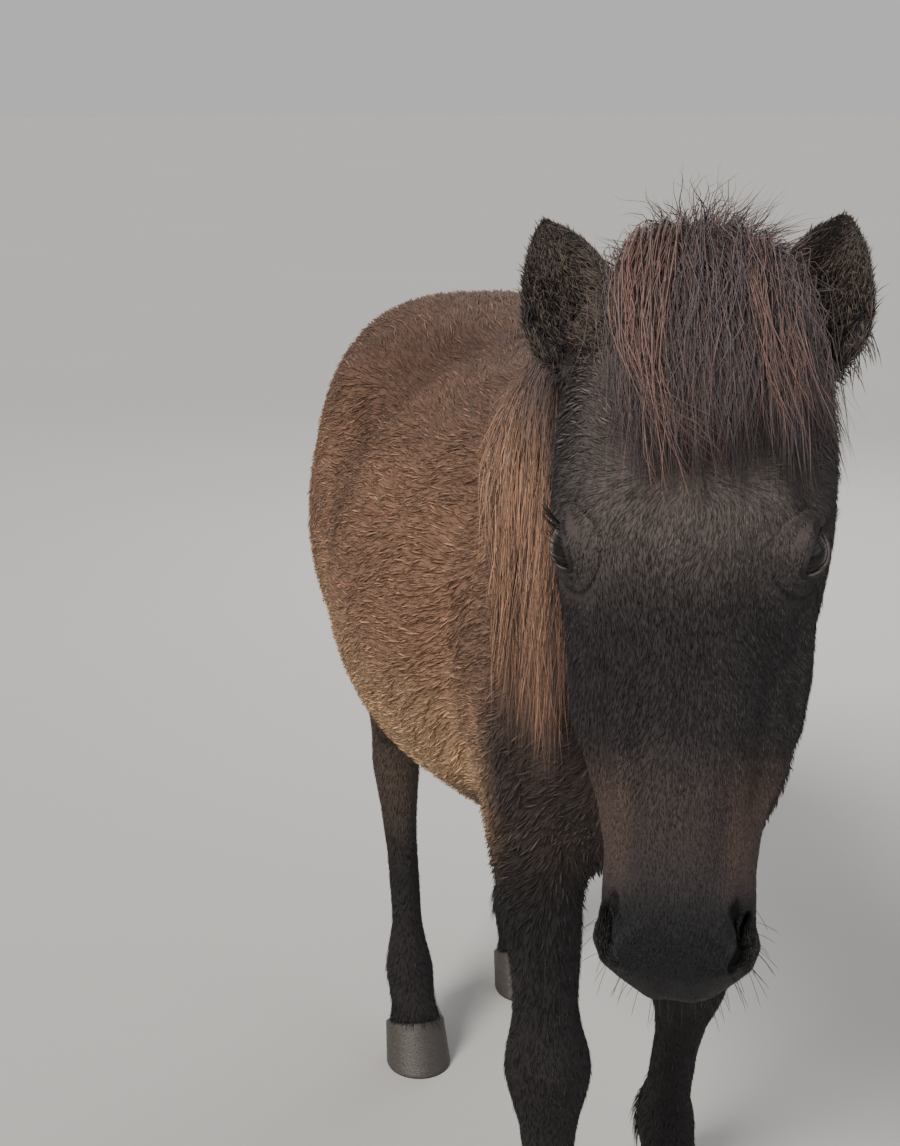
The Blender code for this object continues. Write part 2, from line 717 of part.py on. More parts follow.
def mouth_form():
    """A thin bent slab whose inner edge lies a finger's width under the lips."""
    bend = np.linspace(-0.5 * np.pi, 0.5 * np.pi, 13)
    corners = ((0.110, 0.075, -1), (0.110, 0.075, 1), (0.070, 0.034, 0.5), (0.070, 0.034, -0.5))
    rings = np.empty((13, 4, 3))
    for j, (reach, wide, half) in enumerate(corners):
        down = 0.352 + reach * np.abs(np.cos(bend)) ** 0.8
        sag = -0.0665 + 0.012 * np.cos(bend) + 0.0011 * half
        rings[:, j] = on_head(down, sag, wide * np.sin(bend))
    return skin_rings(rings)


def ear_axis(sign):
    """An ear's root, the way it rises and the way its cup opens."""
    root = on_head(0.018, -0.048, -0.064 if sign < 0 else 0.062)
    lean = math.radians(23 if sign < 0 else 17)
    rise = unit(np.array([0, 0, 1.0]) * math.cos(lean) + sign * LEFT * math.sin(lean) + 0.08 * OUT)
    face = unit(0.92 * OUT + sign * 0.42 * LEFT)
    face = unit(face - np.dot(face, rise) * rise)
    return root, rise, face


def ear_form(sign):
    """A leaf rolled into a cup: C-shaped sections that open towards the tip."""
    root, rise, face = ear_axis(sign)
    across = np.cross(face, rise)
    inwards = across if np.dot(across, LEFT) * sign < 0 else -across
    knots = np.array([
        (-0.022, 0.0235, 2.60, 0.018),
        (0.000, 0.0280, 2.40, 0.016),
        (0.020, 0.0350, 2.05, 0.009),
        (0.042, 0.0370, 1.65, 0.0065),
        (0.064, 0.0315, 1.35, 0.0055),
        (0.082, 0.0215, 1.10, 0.0050),
        (0.093, 0.0115, 0.95, 0.0040),
        (0.099, 0.0040, 0.90, 0.0020),
    ])
    blank = np.zeros(len(knots))
    line = smooth_line(np.column_stack([knots[:, 0], blank, blank, knots[:, 1:]]), 12)
    up, width, wrap, wall = line[:, 0], *line[:, 3:].T
    radius = width / np.sin(np.minimum(wrap, np.pi / 2))
    turn = np.linspace(-1, 1, 9)
    rings = []
    for side, order in ((0, 1), (1, -1)):
        angle = wrap[:, None] * turn[None, ::order]
        reach = np.maximum(radius - side * wall, 0.15 * radius)[:, None]
        back = (radius - width * 0.55)[:, None] - np.cos(angle) * reach
        rings.append(np.stack([np.sin(angle) * reach, back, np.broadcast_to(up[:, None], angle.shape)], -1))
    rings = np.concatenate(rings, axis=1)
    tip = smoothstep(0.03, 0.11, rings[..., 2])
    spot = (
        root
        + rings[..., 0][..., None] * inwards
        + (rings[..., 1] + 0.006 * tip)[..., None] * face
        + rings[..., 2][..., None] * rise
    )
    count, corners = spot.shape[:2]
    points = spot.reshape(-1, 3)
    faces = []
    for i in range(count - 1):
        for j in range(corners):
            k = (j + 1) % corners
            faces.append((i * corners + j, i * corners + k, (i + 1) * corners + k, (i + 1) * corners + j))
    for i in (0, count - 1):
        for j in range(8):
            a, b, c, d = j, j + 1, corners - 2 - j, corners - 1 - j
            faces.append(tuple(i * corners + v for v in ((a, b, c, d) if i else (d, c, b, a))))
    return points, faces


def ear_room(sign):
    """A plain body round an ear, which the long hair keeps out of."""
    root, rise, face = ear_axis(sign)
    up = np.array([-0.020, 0.0, 0.020, 0.040, 0.062, 0.084, 0.104, 0.114])
    width = np.array([0.032, 0.038, 0.045, 0.048, 0.043, 0.034, 0.022, 0.010])
    out = np.cross(face, rise)
    out *= -np.sign(np.dot(out, LEFT) * sign)
    tip = smoothstep(0.03, 0.11, up)[:, None]
    centre = root + up[:, None] * rise + tip * 0.006 * face
    across, front = np.tile(out, (8, 1)), np.tile(face, (8, 1))
    even = np.ones(8)
    return skin_rings(ovals(centre, across, front, width, 1.1 * width, 1.1 * width, even, even, 16))


def hoof_form(name):
    """A slanted cone with a flat wearing rim, a hollow sole and sloping heels."""
    knots, sign, swing, spread = LEGS[name]
    x = sign * (knots[-2][0] + spread)
    y = knots[-2][1] + swing - 0.021
    rows = (
        (0.0050, 0.45), (0.0035, 0.78), (0.0000, 0.88), (0.0000, 0.975),
        (0.0025, 1.000), (0.0200, 0.970), (0.0450, 0.915), (0.0750, 0.860),
    )
    rise = np.array([z for z, _ in rows])
    size = np.array([share for _, share in rows])
    centre = np.column_stack([x + 0 * rise, y + 0.50 * rise, rise])
    side = np.tile([1.0, 0, 0], (len(rows), 1))
    front = np.tile([0, -1.0, 0], (len(rows), 1))
    even = np.ones(len(rows))
    rings = ovals(centre, side, front, 0.0385 * size, 0.0430 * size, 0.0380 * size, even, 0.75 * even, 14)
    return skin_rings(rings)


def coronet(name, shift):
    """The box below the slanting line where hair meets horn, from shift under it."""
    knots, sign, swing, spread = LEGS[name]
    through = (sign * (knots[-2][0] + spread), knots[-2][1] + swing, HOOF_HEIGHT)
    down = (0, -math.sin(CORONET_SLOPE), -math.cos(CORONET_SLOPE))
    return plane_block(through, down, (1, 0, 0), (0.075, 0.075, 0.14), shift)


# Long hair


def neck_section(along):
    """The neck's middle, up, side, half width and half height, from the withers (0) to the poll (1)."""
    knots = np.array([[*crest, *under, width] for crest, under, width in NECK])
    middle = (knots[:, :3] + knots[:, 3:6]) / 2
    line = smooth_line(np.column_stack([middle, knots[:, 3:]]), 61)
    at = np.clip(along, 0, 1) * 60
    i = np.clip(int(at), 0, 59)
    row = line[i] + (line[i + 1] - line[i]) * (at - i)
    tangent = unit(line[i + 1, :3] - line[i, :3])
    up = row[:3] - row[3:6]
    height = np.linalg.norm(up)
    up = up / height
    side = unit(np.cross(tangent, up))
    return row[:3], up, side * np.sign(side[0]), row[6], height


def drape(along, fall, lift):
    """A place on the mane's lie: over the crest, down the right of the neck, then plumb."""
    middle, up, side, width, height = neck_section(along)
    angle = np.radians(np.linspace(60, 178, 40))
    across = np.sign(np.cos(angle)) * np.abs(np.cos(angle)) ** 1.2 * (width + lift)
    section = middle + across[:, None] * side + (np.sin(angle) * (height + lift))[:, None] * up
    steps = np.concatenate([[0], np.cumsum(np.linalg.norm(np.diff(section, axis=0), axis=1))])
    steps -= np.interp(90, np.degrees(angle), steps)
    spot = np.array([np.interp(fall, steps, section[:, axis]) for axis in range(3)])
    over = max(fall - steps[-1], 0)
    return spot + over * np.array([-0.05, -0.04, -1.0])


def mane_length(along):
    """How long the mane is from the withers (0), where it is short, to the poll (1)."""
    return MANE_LENGTH * np.interp(along, [0.10, 0.30, 0.45, 0.60, 0.85, 1.0], [0.28, 0.45, 0.85, 1.0, 1.0, 0.85])


def mane_sheet(share, lift):
    """The mane as one closed sheet of hair, out to this share of its length."""
    stations = np.linspace(0.14, 0.985, 22)
    rings = []
    for at in stations:
        falls = np.linspace(-0.030, share * mane_length(at), 10)
        swell_out = lift * np.sin(np.linspace(0.25, 0.97, 10) * np.pi) ** 0.5
        outer = [drape(at - 0.10 * max(f, 0), f, 0.004 + s) for f, s in zip(falls, swell_out)]
        inner = [drape(at - 0.10 * max(f, 0), f, -0.012) for f in falls[::-1]]
        rings.append(outer + inner)
    return skin_rings(np.array(rings))


def fore_line(t, spread, lift):
    """A place on the forelock's lie: up between the ears, then down the face."""
    down = -0.012 + 0.150 * t
    face = np.interp(down, [-0.02, 0.0, 0.03, 0.08, 0.15], [-0.030, 0.004, 0.016, 0.026, 0.030])
    return on_head(down, face + lift, spread)


def hair_side(sign, shift):
    """The box ahead (1) or behind (-1) of the line between the ears, where the mane meets the
    forelock."""
    start = on_head(-0.020, -0.018, 0.0)
    return plane_block(start, sign * (OUT + 0.35 * DOWN), LEFT, (0.12, 0.200, 0.20), shift)


def forelock_sheet(share, lift):
    """The forelock as one closed sheet of hair, out to this share of its length."""
    rings = []
    for t in np.linspace(0.0, share, 9):
        width = np.interp(t, [0, 0.3, 0.7, 1], [0.034, 0.050, 0.058, 0.030])
        middle = 0.006 + 0.018 * t
        bend = np.linspace(0, 2 * np.pi, 14, endpoint=False)
        rise = lift * np.interp(t, [0, 0.25, 0.8, 1], [0.8, 1.0, 0.6, 0.25])
        outward = np.where(np.sin(bend) > 0, rise, 0.012) * np.sin(bend)
        drop = -6.5 * (middle + width * np.cos(bend)) ** 2
        rings.append([fore_line(t, middle + width * np.cos(b), o + d) for b, o, d in zip(bend, outward, drop)])
    return skin_rings(np.array(rings))


def tail_line(count):
    knots = np.array(TAIL)
    blank = np.zeros(len(knots))
    return smooth_line(np.column_stack([blank, knots]), count)


def tail_sheet(share, girth):
    """The tail as one closed form, out to this share of its length and of its girth."""
    line = tail_line(12)[: 1 + int(11 * share)]
    line[:, 3:] *= girth
    line[-1, 3:] *= 0.4
    centre = line[:, :3]
    along = unit(np.gradient(centre, axis=0))
    side = np.tile([1.0, 0, 0], (len(line), 1))
    back = np.cross(along, side)
    back *= np.sign(back[:, 1:2] + back[:, 2:3] + 1e-9)
    even = np.ones(len(line))
    return skin_rings(ovals(centre, side, back, line[:, 3], line[:, 4], line[:, 4], even, even, 8))


def lock(path, normal, width, thickness, twist=0.0, root=0.75):
    """A flat, tapered lock of hair: low three-cornered sections along a path, ending in a point.
    It starts at the root's share of its width, and towards its tip it twists about its own line."""
    along = unit(np.gradient(path, axis=0))
    side = unit(np.cross(along, normal))
    normal = np.cross(side, along)
    t = np.linspace(0, 1, len(path))
    turn = (twist * t * t)[:, None]
    side, normal = np.cos(turn) * side + np.sin(turn) * normal, np.cos(turn) * normal - np.sin(turn) * side
    wide = width * np.interp(t, [0, 0.25, 0.75, 1], [root, 1.0, 0.85, 0.10])[:, None]
    thick = thickness * np.interp(t, [0, 0.3, 1], [1.0, 1.0, 0.30])[:, None]
    low = path - 0.7 * normal * thick
    corners = [low + side * wide, path + normal * thick, low - side * wide]
    return skin_rings(np.stack(corners, axis=1))


def mane_locks():
    """Locks over the crest and down the right of the neck, and a fringe that stands at the poll."""
    draw = np.random.default_rng(MANE_SEED)
    locks = []
    t = np.linspace(0, 1, 6)
    for i in range(MANE_LOCKS):
        share = (i + draw.uniform(0.2, 0.8)) / MANE_LOCKS
        at = 0.18 + 0.79 * share**0.8
        length = mane_length(at) * draw.uniform(0.84, 1.02)
        lift = 0.007 + 0.007 * (i % 3)
        sweep = 0.10 + draw.uniform(-0.16, 0.10)
        wave = draw.uniform(-0.012, 0.012)
        twist = (1.0 if i % 2 else -1.0) * draw.uniform(0.5, 1.2)
        falls = -0.020 + (length + 0.020) * t
        places = at - sweep * np.clip(falls, 0, 1) + wave * np.sin(2.2 * np.pi * t)
        lifts = lift * np.sin(np.pi * (0.16 + 0.72 * t)) ** 0.6
        path = np.array([drape(p, f, h) for p, f, h in zip(places, falls, lifts)])
        away = np.array([drape(p, f, h + 0.02) for p, f, h in zip(places, falls, lifts)]) - path
        locks.append(lock(path, unit(away), 0.029, 0.0055, twist))
    for i in range(FRINGE_LOCKS):
        locks.append(fringe_lock(i / (FRINGE_LOCKS - 1), draw))
    return locks


def fringe_lock(share, draw):
    """A lock of the tuft that stands up from the crest at the poll and falls to both sides."""
    middle, up, side, width, height = neck_section(0.87 + 0.115 * share)
    lean = np.sin(9.7 * share) + draw.uniform(-0.15, 0.15)
    tall = 0.088 - 0.034 * lean * lean + draw.uniform(-0.012, 0.012)
    t = np.linspace(0, 1, 4)[:, None]
    rise = height - 0.030 + tall * (1.5 * t - 0.5 * t * t)
    sway = 0.014 + (0.026 + 0.034 * t * t) * lean
    path = middle + rise * up + sway * side - 0.020 * t * t * np.array([0, 1.0, 0])
    return lock(path, np.tile([0, -1.0, 0], (4, 1)), 0.019, 0.0050, 0.5 * lean, 1.0)


def forelock_locks():
    """Locks from between the ears down the forehead, most of them swept to the pony's left."""
    draw = np.random.default_rng(FORELOCK_SEED)
    locks = []
    t = np.linspace(0, 1, 5)
    for i in range(FORELOCK_LOCKS):
        start = -0.036 + 0.078 * (i + 0.5) / FORELOCK_LOCKS
        end = start * 1.45 + 0.021 + draw.uniform(-0.010, 0.010)
        reach = draw.uniform(0.78, 1.04)
        if i in (2, 5):
            start, end, reach = -0.032 + 0.002 * i, 0.030 + 0.004 * i, 0.84
        spread = start + (end - start) * t**1.6
        lift = (0.011 + 0.005 * (i % 3)) * np.interp(t, [0, 0.2, 0.7, 1], [0.9, 1.0, 0.75, 0.45])
        path = np.array([fore_line(reach * a, c, h - 6.5 * c * c) for a, c, h in zip(t, spread, lift)])
        locks.append(lock(path, np.tile(OUT, (5, 1)), 0.0175, 0.0042))
    return locks


def tail_locks():
    """Locks all round the tail's line, with tips at many heights."""
    draw = np.random.default_rng(TAIL_SEED)
    line = tail_line(61)
    along = unit(np.gradient(line[:, :3], axis=0))
    side = np.tile([1.0, 0, 0], (61, 1))
    back = np.cross(along, side)
    back *= np.sign(back[:, 1:2] + back[:, 2:3] + 1e-9)
    locks = []
    for i in range(TAIL_LOCKS):
        turn = 2 * np.pi * (i * 0.382 + 0.02 * draw.uniform())
        end = draw.uniform(0.82, 1.0)
        t = np.linspace(0.06, end, 5)
        row = np.clip(np.round(t * 60).astype(int), 0, 60)
        width = np.maximum(line[row, 3], 0.036 * smoothstep(0.3, 0.7, t))
        depth = np.maximum(line[row, 4], 0.026 * smoothstep(0.3, 0.7, t))
        share = (0.70 + 0.15 * (i % 2)) * np.ones(5)
        turns = turn + draw.uniform(-0.5, 0.5) * t
        across = (share * width * np.cos(turns))[:, None] * side[row]
        behind = (share * depth * np.sin(turns))[:, None] * back[row]
        normal = unit(np.cos(turns)[:, None] * side[row] + np.sin(turns)[:, None] * back[row])
        locks.append(lock(line[row, :3] + across + behind, normal, 0.036, 0.0080, root=0.3))
    return locks


def with_locks(core, locks):
    """The core and its locks as one closed body."""
    pieces = [solid(f"{core.name}_lock_{i}", *form) for i, form in enumerate(locks)]
    return thinned(cut_with_all(core, "UNION", pieces), LOCKS_KEPT)


def paint(obj, colour, roughness):
    material = bpy.data.materials.new(obj.name)
    material.use_nodes = True
    shader = material.node_tree.nodes["Principled BSDF"]
    shader.inputs["Base Color"].default_value = (*colour, 1)
    shader.inputs["Roughness"].default_value = roughness
    shader.inputs["Metallic"].default_value = 0
    material.diffuse_color = (*colour, 1)
    obj.data.materials.clear()
    obj.data.materials.append(material)


def build():
    for obj in list(bpy.data.objects):
        bpy.data.objects.remove(obj)
    body = fused_body()

    head = part_off(body, "head", prism(HEAD_CUT, (0.96, -0.27, 0), 0.30))
    neck = part_off(body, "neck", prism(NECK_CUT, (1, 0, 0), 0.30))
    nodes = {"torso": body, "neck": neck, "head": head}
    body.name = "torso"
    for name, (_, sign, _, _) in LEGS.items():
        outline = FORELEG_CUT if name.startswith("fore") else HINDLEG_CUT
        leg = part_off(body, name, prism(outline, (1, 0, 0), LEG_REACH, sign * LEG_REACH))
        cut(leg, "DIFFERENCE", coronet(name, 0.0))
        hoof = solid("hoof_" + name.replace("leg", ""), *hoof_form(name))
        cut(hoof, "INTERSECT", coronet(name, GAP))
        nodes[name] = leg
        nodes[hoof.name] = hoof

    for sign, side in ((-1, "right"), (1, "left")):
        root, rise, face = ear_axis(sign)
        start = root + 0.026 * rise
        size = (0.046, 0.036, 0.12)
        cut(head, "UNION", solid("stub", *ear_form(sign)))
        cut(head, "DIFFERENCE", plane_block(start, rise, LEFT, size, -GAP))
        ear = solid("ear_" + side, *ear_form(sign))
        nodes[ear.name] = cut(ear, "INTERSECT", plane_block(start, rise, LEFT, size))
        centre = gaze(sign)[0]
        cut(head, "UNION", solid("lids", *lid_form(sign)))
        cut(head, "DIFFERENCE", ball("socket", centre, EYE_RADIUS + 1.4 * GAP))
        cut(head, "DIFFERENCE", solid("nostril", *nostril_form(sign)))
        nodes["eye_" + side] = ball("eye_" + side, centre, EYE_RADIUS)
    cut(head, "DIFFERENCE", solid("mouth", *mouth_form()))

    mane = with_locks(evened(solid("mane", *mane_sheet(0.5, 0.009)), 0.008, 180), mane_locks())
    forelock = with_locks(evened(solid("forelock", *forelock_sheet(0.5, 0.012)), 0.006, 90), forelock_locks())
    tail = with_locks(solid("tail", *tail_sheet(0.5, 0.70)), tail_locks())
    for hair, neighbours, side in (
        (mane, ("neck", "torso", "head"), 1),
        (forelock, ("head",), -1),
        (tail, ("torso", "hindleg_left", "hindleg_right"), 0),
    ):
        tools = [grown(nodes[name], "wider", 1.5 * GAP) for name in neighbours]
        if side:
            tools += [solid("room", *ear_room(sign)) for sign in (-1, 1)]
            tools.append(hair_side(side, -0.5 * GAP))
        nodes[hair.name] = cut_with_all(hair, "DIFFERENCE", tools)

    for name, obj in nodes.items():
        largest_skin(obj)
        obj.data.shade_smooth()
        if name.startswith("eye"):
            paint(obj, EYE, 0.08)
        elif name.startswith("hoof"):
            paint(obj, HORN, 0.45)
        elif name in ("mane", "forelock", "tail"):
            paint(obj, LONG_HAIR, 0.60)
        elif "leg" in name:
            paint(obj, POINTS, 0.75)
        elif name.startswith(("head", "ear")):
            paint(obj, FACE, 0.80)
        else:
            paint(obj, NECK_COAT if name == "neck" else COAT, 0.80)

    low = np.min([read_points(obj.data).min(0) for obj in nodes.values()], axis=0)
    high = np.max([read_points(obj.data).max(0) for obj in nodes.values()], axis=0)
    middle = (low + high) / 2
    for obj in nodes.values():
        write_points(obj.data, read_points(obj.data) - (middle[0], middle[1], 0))


build()
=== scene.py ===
# %% [markdown]
# # A Shetland pony
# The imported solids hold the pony's outline, pose and place. This lesson dresses them as the
# living animal: one skin over all the flesh, a coat of small solid tufts that lie the way a
# pony's hair lies, long hair in locks and single strands, wet eyes behind real lids, and horn.

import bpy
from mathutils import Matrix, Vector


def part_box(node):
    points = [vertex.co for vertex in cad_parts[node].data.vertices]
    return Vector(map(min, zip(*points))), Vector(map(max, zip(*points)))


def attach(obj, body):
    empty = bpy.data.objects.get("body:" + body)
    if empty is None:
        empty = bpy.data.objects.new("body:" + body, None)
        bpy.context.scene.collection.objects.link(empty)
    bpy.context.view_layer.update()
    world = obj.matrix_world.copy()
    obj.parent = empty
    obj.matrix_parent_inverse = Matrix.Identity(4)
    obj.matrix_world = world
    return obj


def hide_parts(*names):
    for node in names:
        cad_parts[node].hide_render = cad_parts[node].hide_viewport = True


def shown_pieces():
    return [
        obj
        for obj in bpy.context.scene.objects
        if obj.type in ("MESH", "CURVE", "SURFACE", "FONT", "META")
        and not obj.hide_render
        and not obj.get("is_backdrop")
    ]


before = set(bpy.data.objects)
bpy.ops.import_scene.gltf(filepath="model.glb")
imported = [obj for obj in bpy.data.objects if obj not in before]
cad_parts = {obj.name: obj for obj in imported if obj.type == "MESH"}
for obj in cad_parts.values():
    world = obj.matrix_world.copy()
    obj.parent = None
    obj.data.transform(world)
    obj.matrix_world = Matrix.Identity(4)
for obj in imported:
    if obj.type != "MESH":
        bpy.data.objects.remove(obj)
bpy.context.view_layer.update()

import bmesh
import bpy
import numpy as np
from mathutils import Matrix

# %% [markdown]
# ## The head's own axes
# A head is easiest to work on in its own directions: down the face, out of the forehead and to
# the pony's left, measured from the poll between the ears. The eyes are the surest landmarks,
# so the poll is found from the middle of the two eye solids. Everything else on the pony is
# measured in the frame it was drawn in, and `SHIFT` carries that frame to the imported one.

# %% Axes and landmarks
HEAD_TURN, HEAD_TILT, HEAD_ROLL = np.radians([24, 20, 1.5])
EYE_DOWN, EYE_OUT, EYE_SIDE = 0.150, -0.0125, 0.0665
EYE_RADIUS = 0.0195
POLL = np.array([-0.071, -0.593, 1.009])


def unit(vectors):
    """Each vector divided by its length."""
    return vectors / np.maximum(np.linalg.norm(vectors, axis=-1, keepdims=True), 1e-12)


def smoothstep(low, high, value):
    """0 below low, 1 above high, and 3s^2 - 2s^3 between them."""
    s = np.clip((value - low) / (high - low), 0, 1)
    return s * s * (3 - 2 * s)


def head_axes():
    """Unit vectors down the face, out of the forehead and to the pony's left."""
    heading = np.array([-np.sin(HEAD_TURN), -np.cos(HEAD_TURN), 0])
    plumb = np.array([0, 0, 1.0])
    down = np.sin(HEAD_TILT) * heading - np.cos(HEAD_TILT) * plumb
    out = np.cos(HEAD_TILT) * heading + np.sin(HEAD_TILT) * plumb
    left = np.cross(out, down)
    left *= np.sign(left[0])
    rolled = down * np.cos(HEAD_ROLL) + left * np.sin(HEAD_ROLL)
    return rolled, out, left * np.cos(HEAD_ROLL) - down * np.sin(HEAD_ROLL)


def on_head(down, out, left):
    """The place at these distances down, out and left of the poll."""
    down, out, left = np.broadcast_arrays(down, out, left)
    return POLL + down[..., None] * DOWN + out[..., None] * OUT + left[..., None] * LEFT


def head_places(points):
    """How far down, out and left of the poll each point lies."""
    away = points - POLL
    return away @ DOWN, away @ OUT, away @ LEFT


def gaze(sign):
    """An eye's centre, where it looks, and its long and short axes."""
    look = unit(sign * 0.86 * LEFT + 0.50 * OUT + 0.06 * DOWN)
    long = 0.86 * DOWN + 0.42 * OUT
    long = unit(long - (long @ look) * look)
    return on_head(EYE_DOWN, EYE_OUT, sign * EYE_SIDE), look, long, np.cross(look, long)


def eye_distance(points):
    """How far each point is from the nearer eye's centre."""
    return np.min([np.linalg.norm(points - gaze(sign)[0], axis=1) for sign in (-1, 1)], axis=0)


def linked(name, data):
    """A new object for some data, linked into the scene."""
    made = bpy.data.objects.new(name, data)
    bpy.context.scene.collection.objects.link(made)
    return made


def node_middle(name):
    """The middle of a CAD node's box."""
    low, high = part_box(name)
    return (np.array(low) + np.array(high)) / 2


DOWN, OUT, LEFT = head_axes()
SIDES = ((-1, "right"), (1, "left"))
SHIFT = (node_middle("eye_left") + node_middle("eye_right")) / 2 - on_head(EYE_DOWN, EYE_OUT, 0.0)
print("shift from the drawing to the pack:", SHIFT.round(4))

# %% [markdown]
# ## Camera
# The photograph is taken from chest height, close in front and a little to the pony's right, so
# the head is large and the body falls away behind it. A camera is a place, a direction and a
# lens: the lens length in millimetres is for a sensor whose long side is 36 mm.

# %% Camera
IMAGE_HEIGHT = 1146
FOCAL_PIXELS = 1800
SENSOR = 36.0
CAMERA_PLACE = np.array([-0.4653, -1.6754, 1.150])
CAMERA_YAW, CAMERA_PITCH = np.radians([12.3, 15.3])


def make_camera():
    """A camera that looks along the yaw and pitch angles from its place."""
    data = bpy.data.cameras.new("camera")
    data.sensor_width = SENSOR
    data.lens = FOCAL_PIXELS / IMAGE_HEIGHT * SENSOR
    data.clip_start, data.clip_end = 0.05, 60
    camera = linked("camera", data)
    camera.location = CAMERA_PLACE + SHIFT
    camera.rotation_euler = (np.pi / 2 - CAMERA_PITCH, 0, -CAMERA_YAW)
    bpy.context.scene.camera = camera
    return camera


camera = make_camera()
print("lens:", round(camera.data.lens, 1), "mm")

# %% [markdown]
# ## Shader arithmetic
# A material is a graph of nodes. Written as Python expressions it stays readable: `Shade` wraps
# one output socket, and adding, multiplying or comparing it with numbers or other sockets adds
# the Math nodes for it. `Finish` is one material, and its `node` method makes any other node.

# %% Shader arithmetic


def plug(value, socket):
    """Links a Shade to a socket, or sets the socket to a plain value."""
    if isinstance(value, Shade):
        socket.id_data.links.new(value.socket, socket)
    elif isinstance(value, (tuple, list, np.ndarray)):
        value = [float(part) for part in value]
        socket.default_value = value + [1.0] * (len(socket.default_value) - len(value))
    else:
        socket.default_value = value


class Shade:
    """One output socket that Python's arithmetic works on."""

    def __init__(self, socket):
        self.socket = socket

    def through(self, operation, *values):
        node = self.socket.id_data.nodes.new("ShaderNodeMath")
        node.operation = operation
        for value, socket in zip(values, node.inputs):
            plug(value, socket)
        return Shade(node.outputs[0])

    def __add__(self, other):
        return self.through("ADD", self, other)

    def __sub__(self, other):
        return self.through("SUBTRACT", self, other)

    def __rsub__(self, other):
        return self.through("SUBTRACT", other, self)

    def __mul__(self, other):
        return self.through("MULTIPLY", self, other)

    def __truediv__(self, other):
        return self.through("DIVIDE", self, other)

    def __pow__(self, power):
        return self.through("POWER", self, power)

    __radd__ = __add__
    __rmul__ = __mul__

    def size(self):
        """The value without its sign."""
        return self.through("ABSOLUTE", self)

    def step(self, low, high):
        """0 at low, 1 at high, smooth between; low may be the larger."""
        node = self.socket.id_data.nodes.new("ShaderNodeMapRange")
        node.interpolation_type = "SMOOTHSTEP"
        for name, value in (("Value", self), ("From Min", low), ("From Max", high)):
            plug(value, node.inputs[name])
        return Shade(node.outputs[0])


class Finish:
    """One Principled material, with its unchanging values set on the shader itself."""

    def __init__(self, name, **constants):
        self.material = bpy.data.materials.new(name)
        self.material.use_nodes = True
        self.tree = self.material.node_tree
        self.shader = self.tree.nodes["Principled BSDF"]
        for socket, value in constants.items():
            plug(value, self.shader.inputs[socket.replace("_", " ")])

    def node(self, kind, settings=None, output=0, **sockets):
        """Any node: its settings first, then its sockets by name, then one of its outputs."""
        node = self.tree.nodes.new("ShaderNode" + kind)
        for name, value in (settings or {}).items():
            setattr(node, name, value)
        for name, value in sockets.items():
            key = int(name[1:]) if name[0] == "_" else name
            plug(value, node.inputs[key])
        return Shade(node.outputs[output])

    def place(self):
        """The point's place in the drawing's frame."""
        spot = self.node("TexCoord", output=3)
        return self.node("VectorMath", {"operation": "SUBTRACT"}, _0=spot, _1=tuple(SHIFT))

    def along(self, spot, direction):
        """How far a place reaches in a direction."""
        return self.node("VectorMath", {"operation": "DOT_PRODUCT"}, output=1, _0=spot, _1=tuple(direction))

    def value(self, name):
        """A value stored on the mesh under this name."""
        return self.node("Attribute", {"attribute_name": name}, output=2)

    def mix(self, first, second, share):
        """A colour that goes from the first to the second as the share goes from 0 to 1."""
        return self.node("Mix", {"data_type": "RGBA"}, output=2, _0=share, _6=first, _7=second)

    def brighten(self, colour, factor):
        """A colour times a factor."""
        grey = self.node("CombineXYZ", _0=factor, _1=factor, _2=factor)
        return self.node("VectorMath", {"operation": "MULTIPLY"}, _0=colour, _1=grey)

    def grain(self, spot, lie, fine, long, detail=2.0):
        """Noise drawn out along a direction: fine across it and long with it, per metre."""
        lie = unit(np.array(lie, float))
        across = unit(np.cross(lie, (0.3, 0.5, 0.81)))
        third = np.cross(lie, across)
        spot = self.node(
            "CombineXYZ",
            _0=self.along(spot, across * fine),
            _1=self.along(spot, third * fine),
            _2=self.along(spot, lie * long),
        )
        return self.node("TexNoise", Vector=spot, Scale=1.0, Detail=detail)

    def feed(self, **sockets):
        """Links what varies to the shader's own sockets."""
        for name, value in sockets.items():
            plug(value, self.shader.inputs[name.replace("_", " ")])
        return self.material

    def bump(self, height, distance):
        """A Bump node for the shader's Normal socket."""
        return self.node("Bump", Height=height, Distance=distance, Strength=1.0)


print("shader arithmetic is ready")

# %% [markdown]
# ## Studio
# A pale floor and broad, soft lights show form without drawing their own patterns on a dark
# coat. A warm sun that is 20 degrees wide gives soft shadows and lights the floor evenly out to
# the horizon, the pale surroundings fill them, and one lamp behind draws an edge on the hair.

# %% Studio
FLOOR_SIZE = 60.0
FLOOR_COLOURS = (0.400, 0.396, 0.392), (0.425, 0.421, 0.417)
SKY_COLOUR, SKY_STRENGTH = (0.84, 0.84, 0.85, 1), 0.66
SUN_WIDTH = np.radians(20)


def light(name, kind, aim, power, colour):
    """A light turned so that it shines along a direction."""
    data = bpy.data.lights.new(name, kind)
    data.energy, data.color = power, colour
    made = linked(name, data)
    tilt, heading = np.arctan2(np.hypot(aim[0], aim[1]), -aim[2]), np.arctan2(aim[1], aim[0])
    made.rotation_euler = (tilt, 0, heading - np.pi / 2)
    return made


def lamp(name, place, target, size, power, colour):
    """A square soft lamp at a place, turned towards a target."""
    made = light(name, "AREA", np.array(target, float) - np.array(place, float), power, colour)
    made.location, made.data.size = place, size


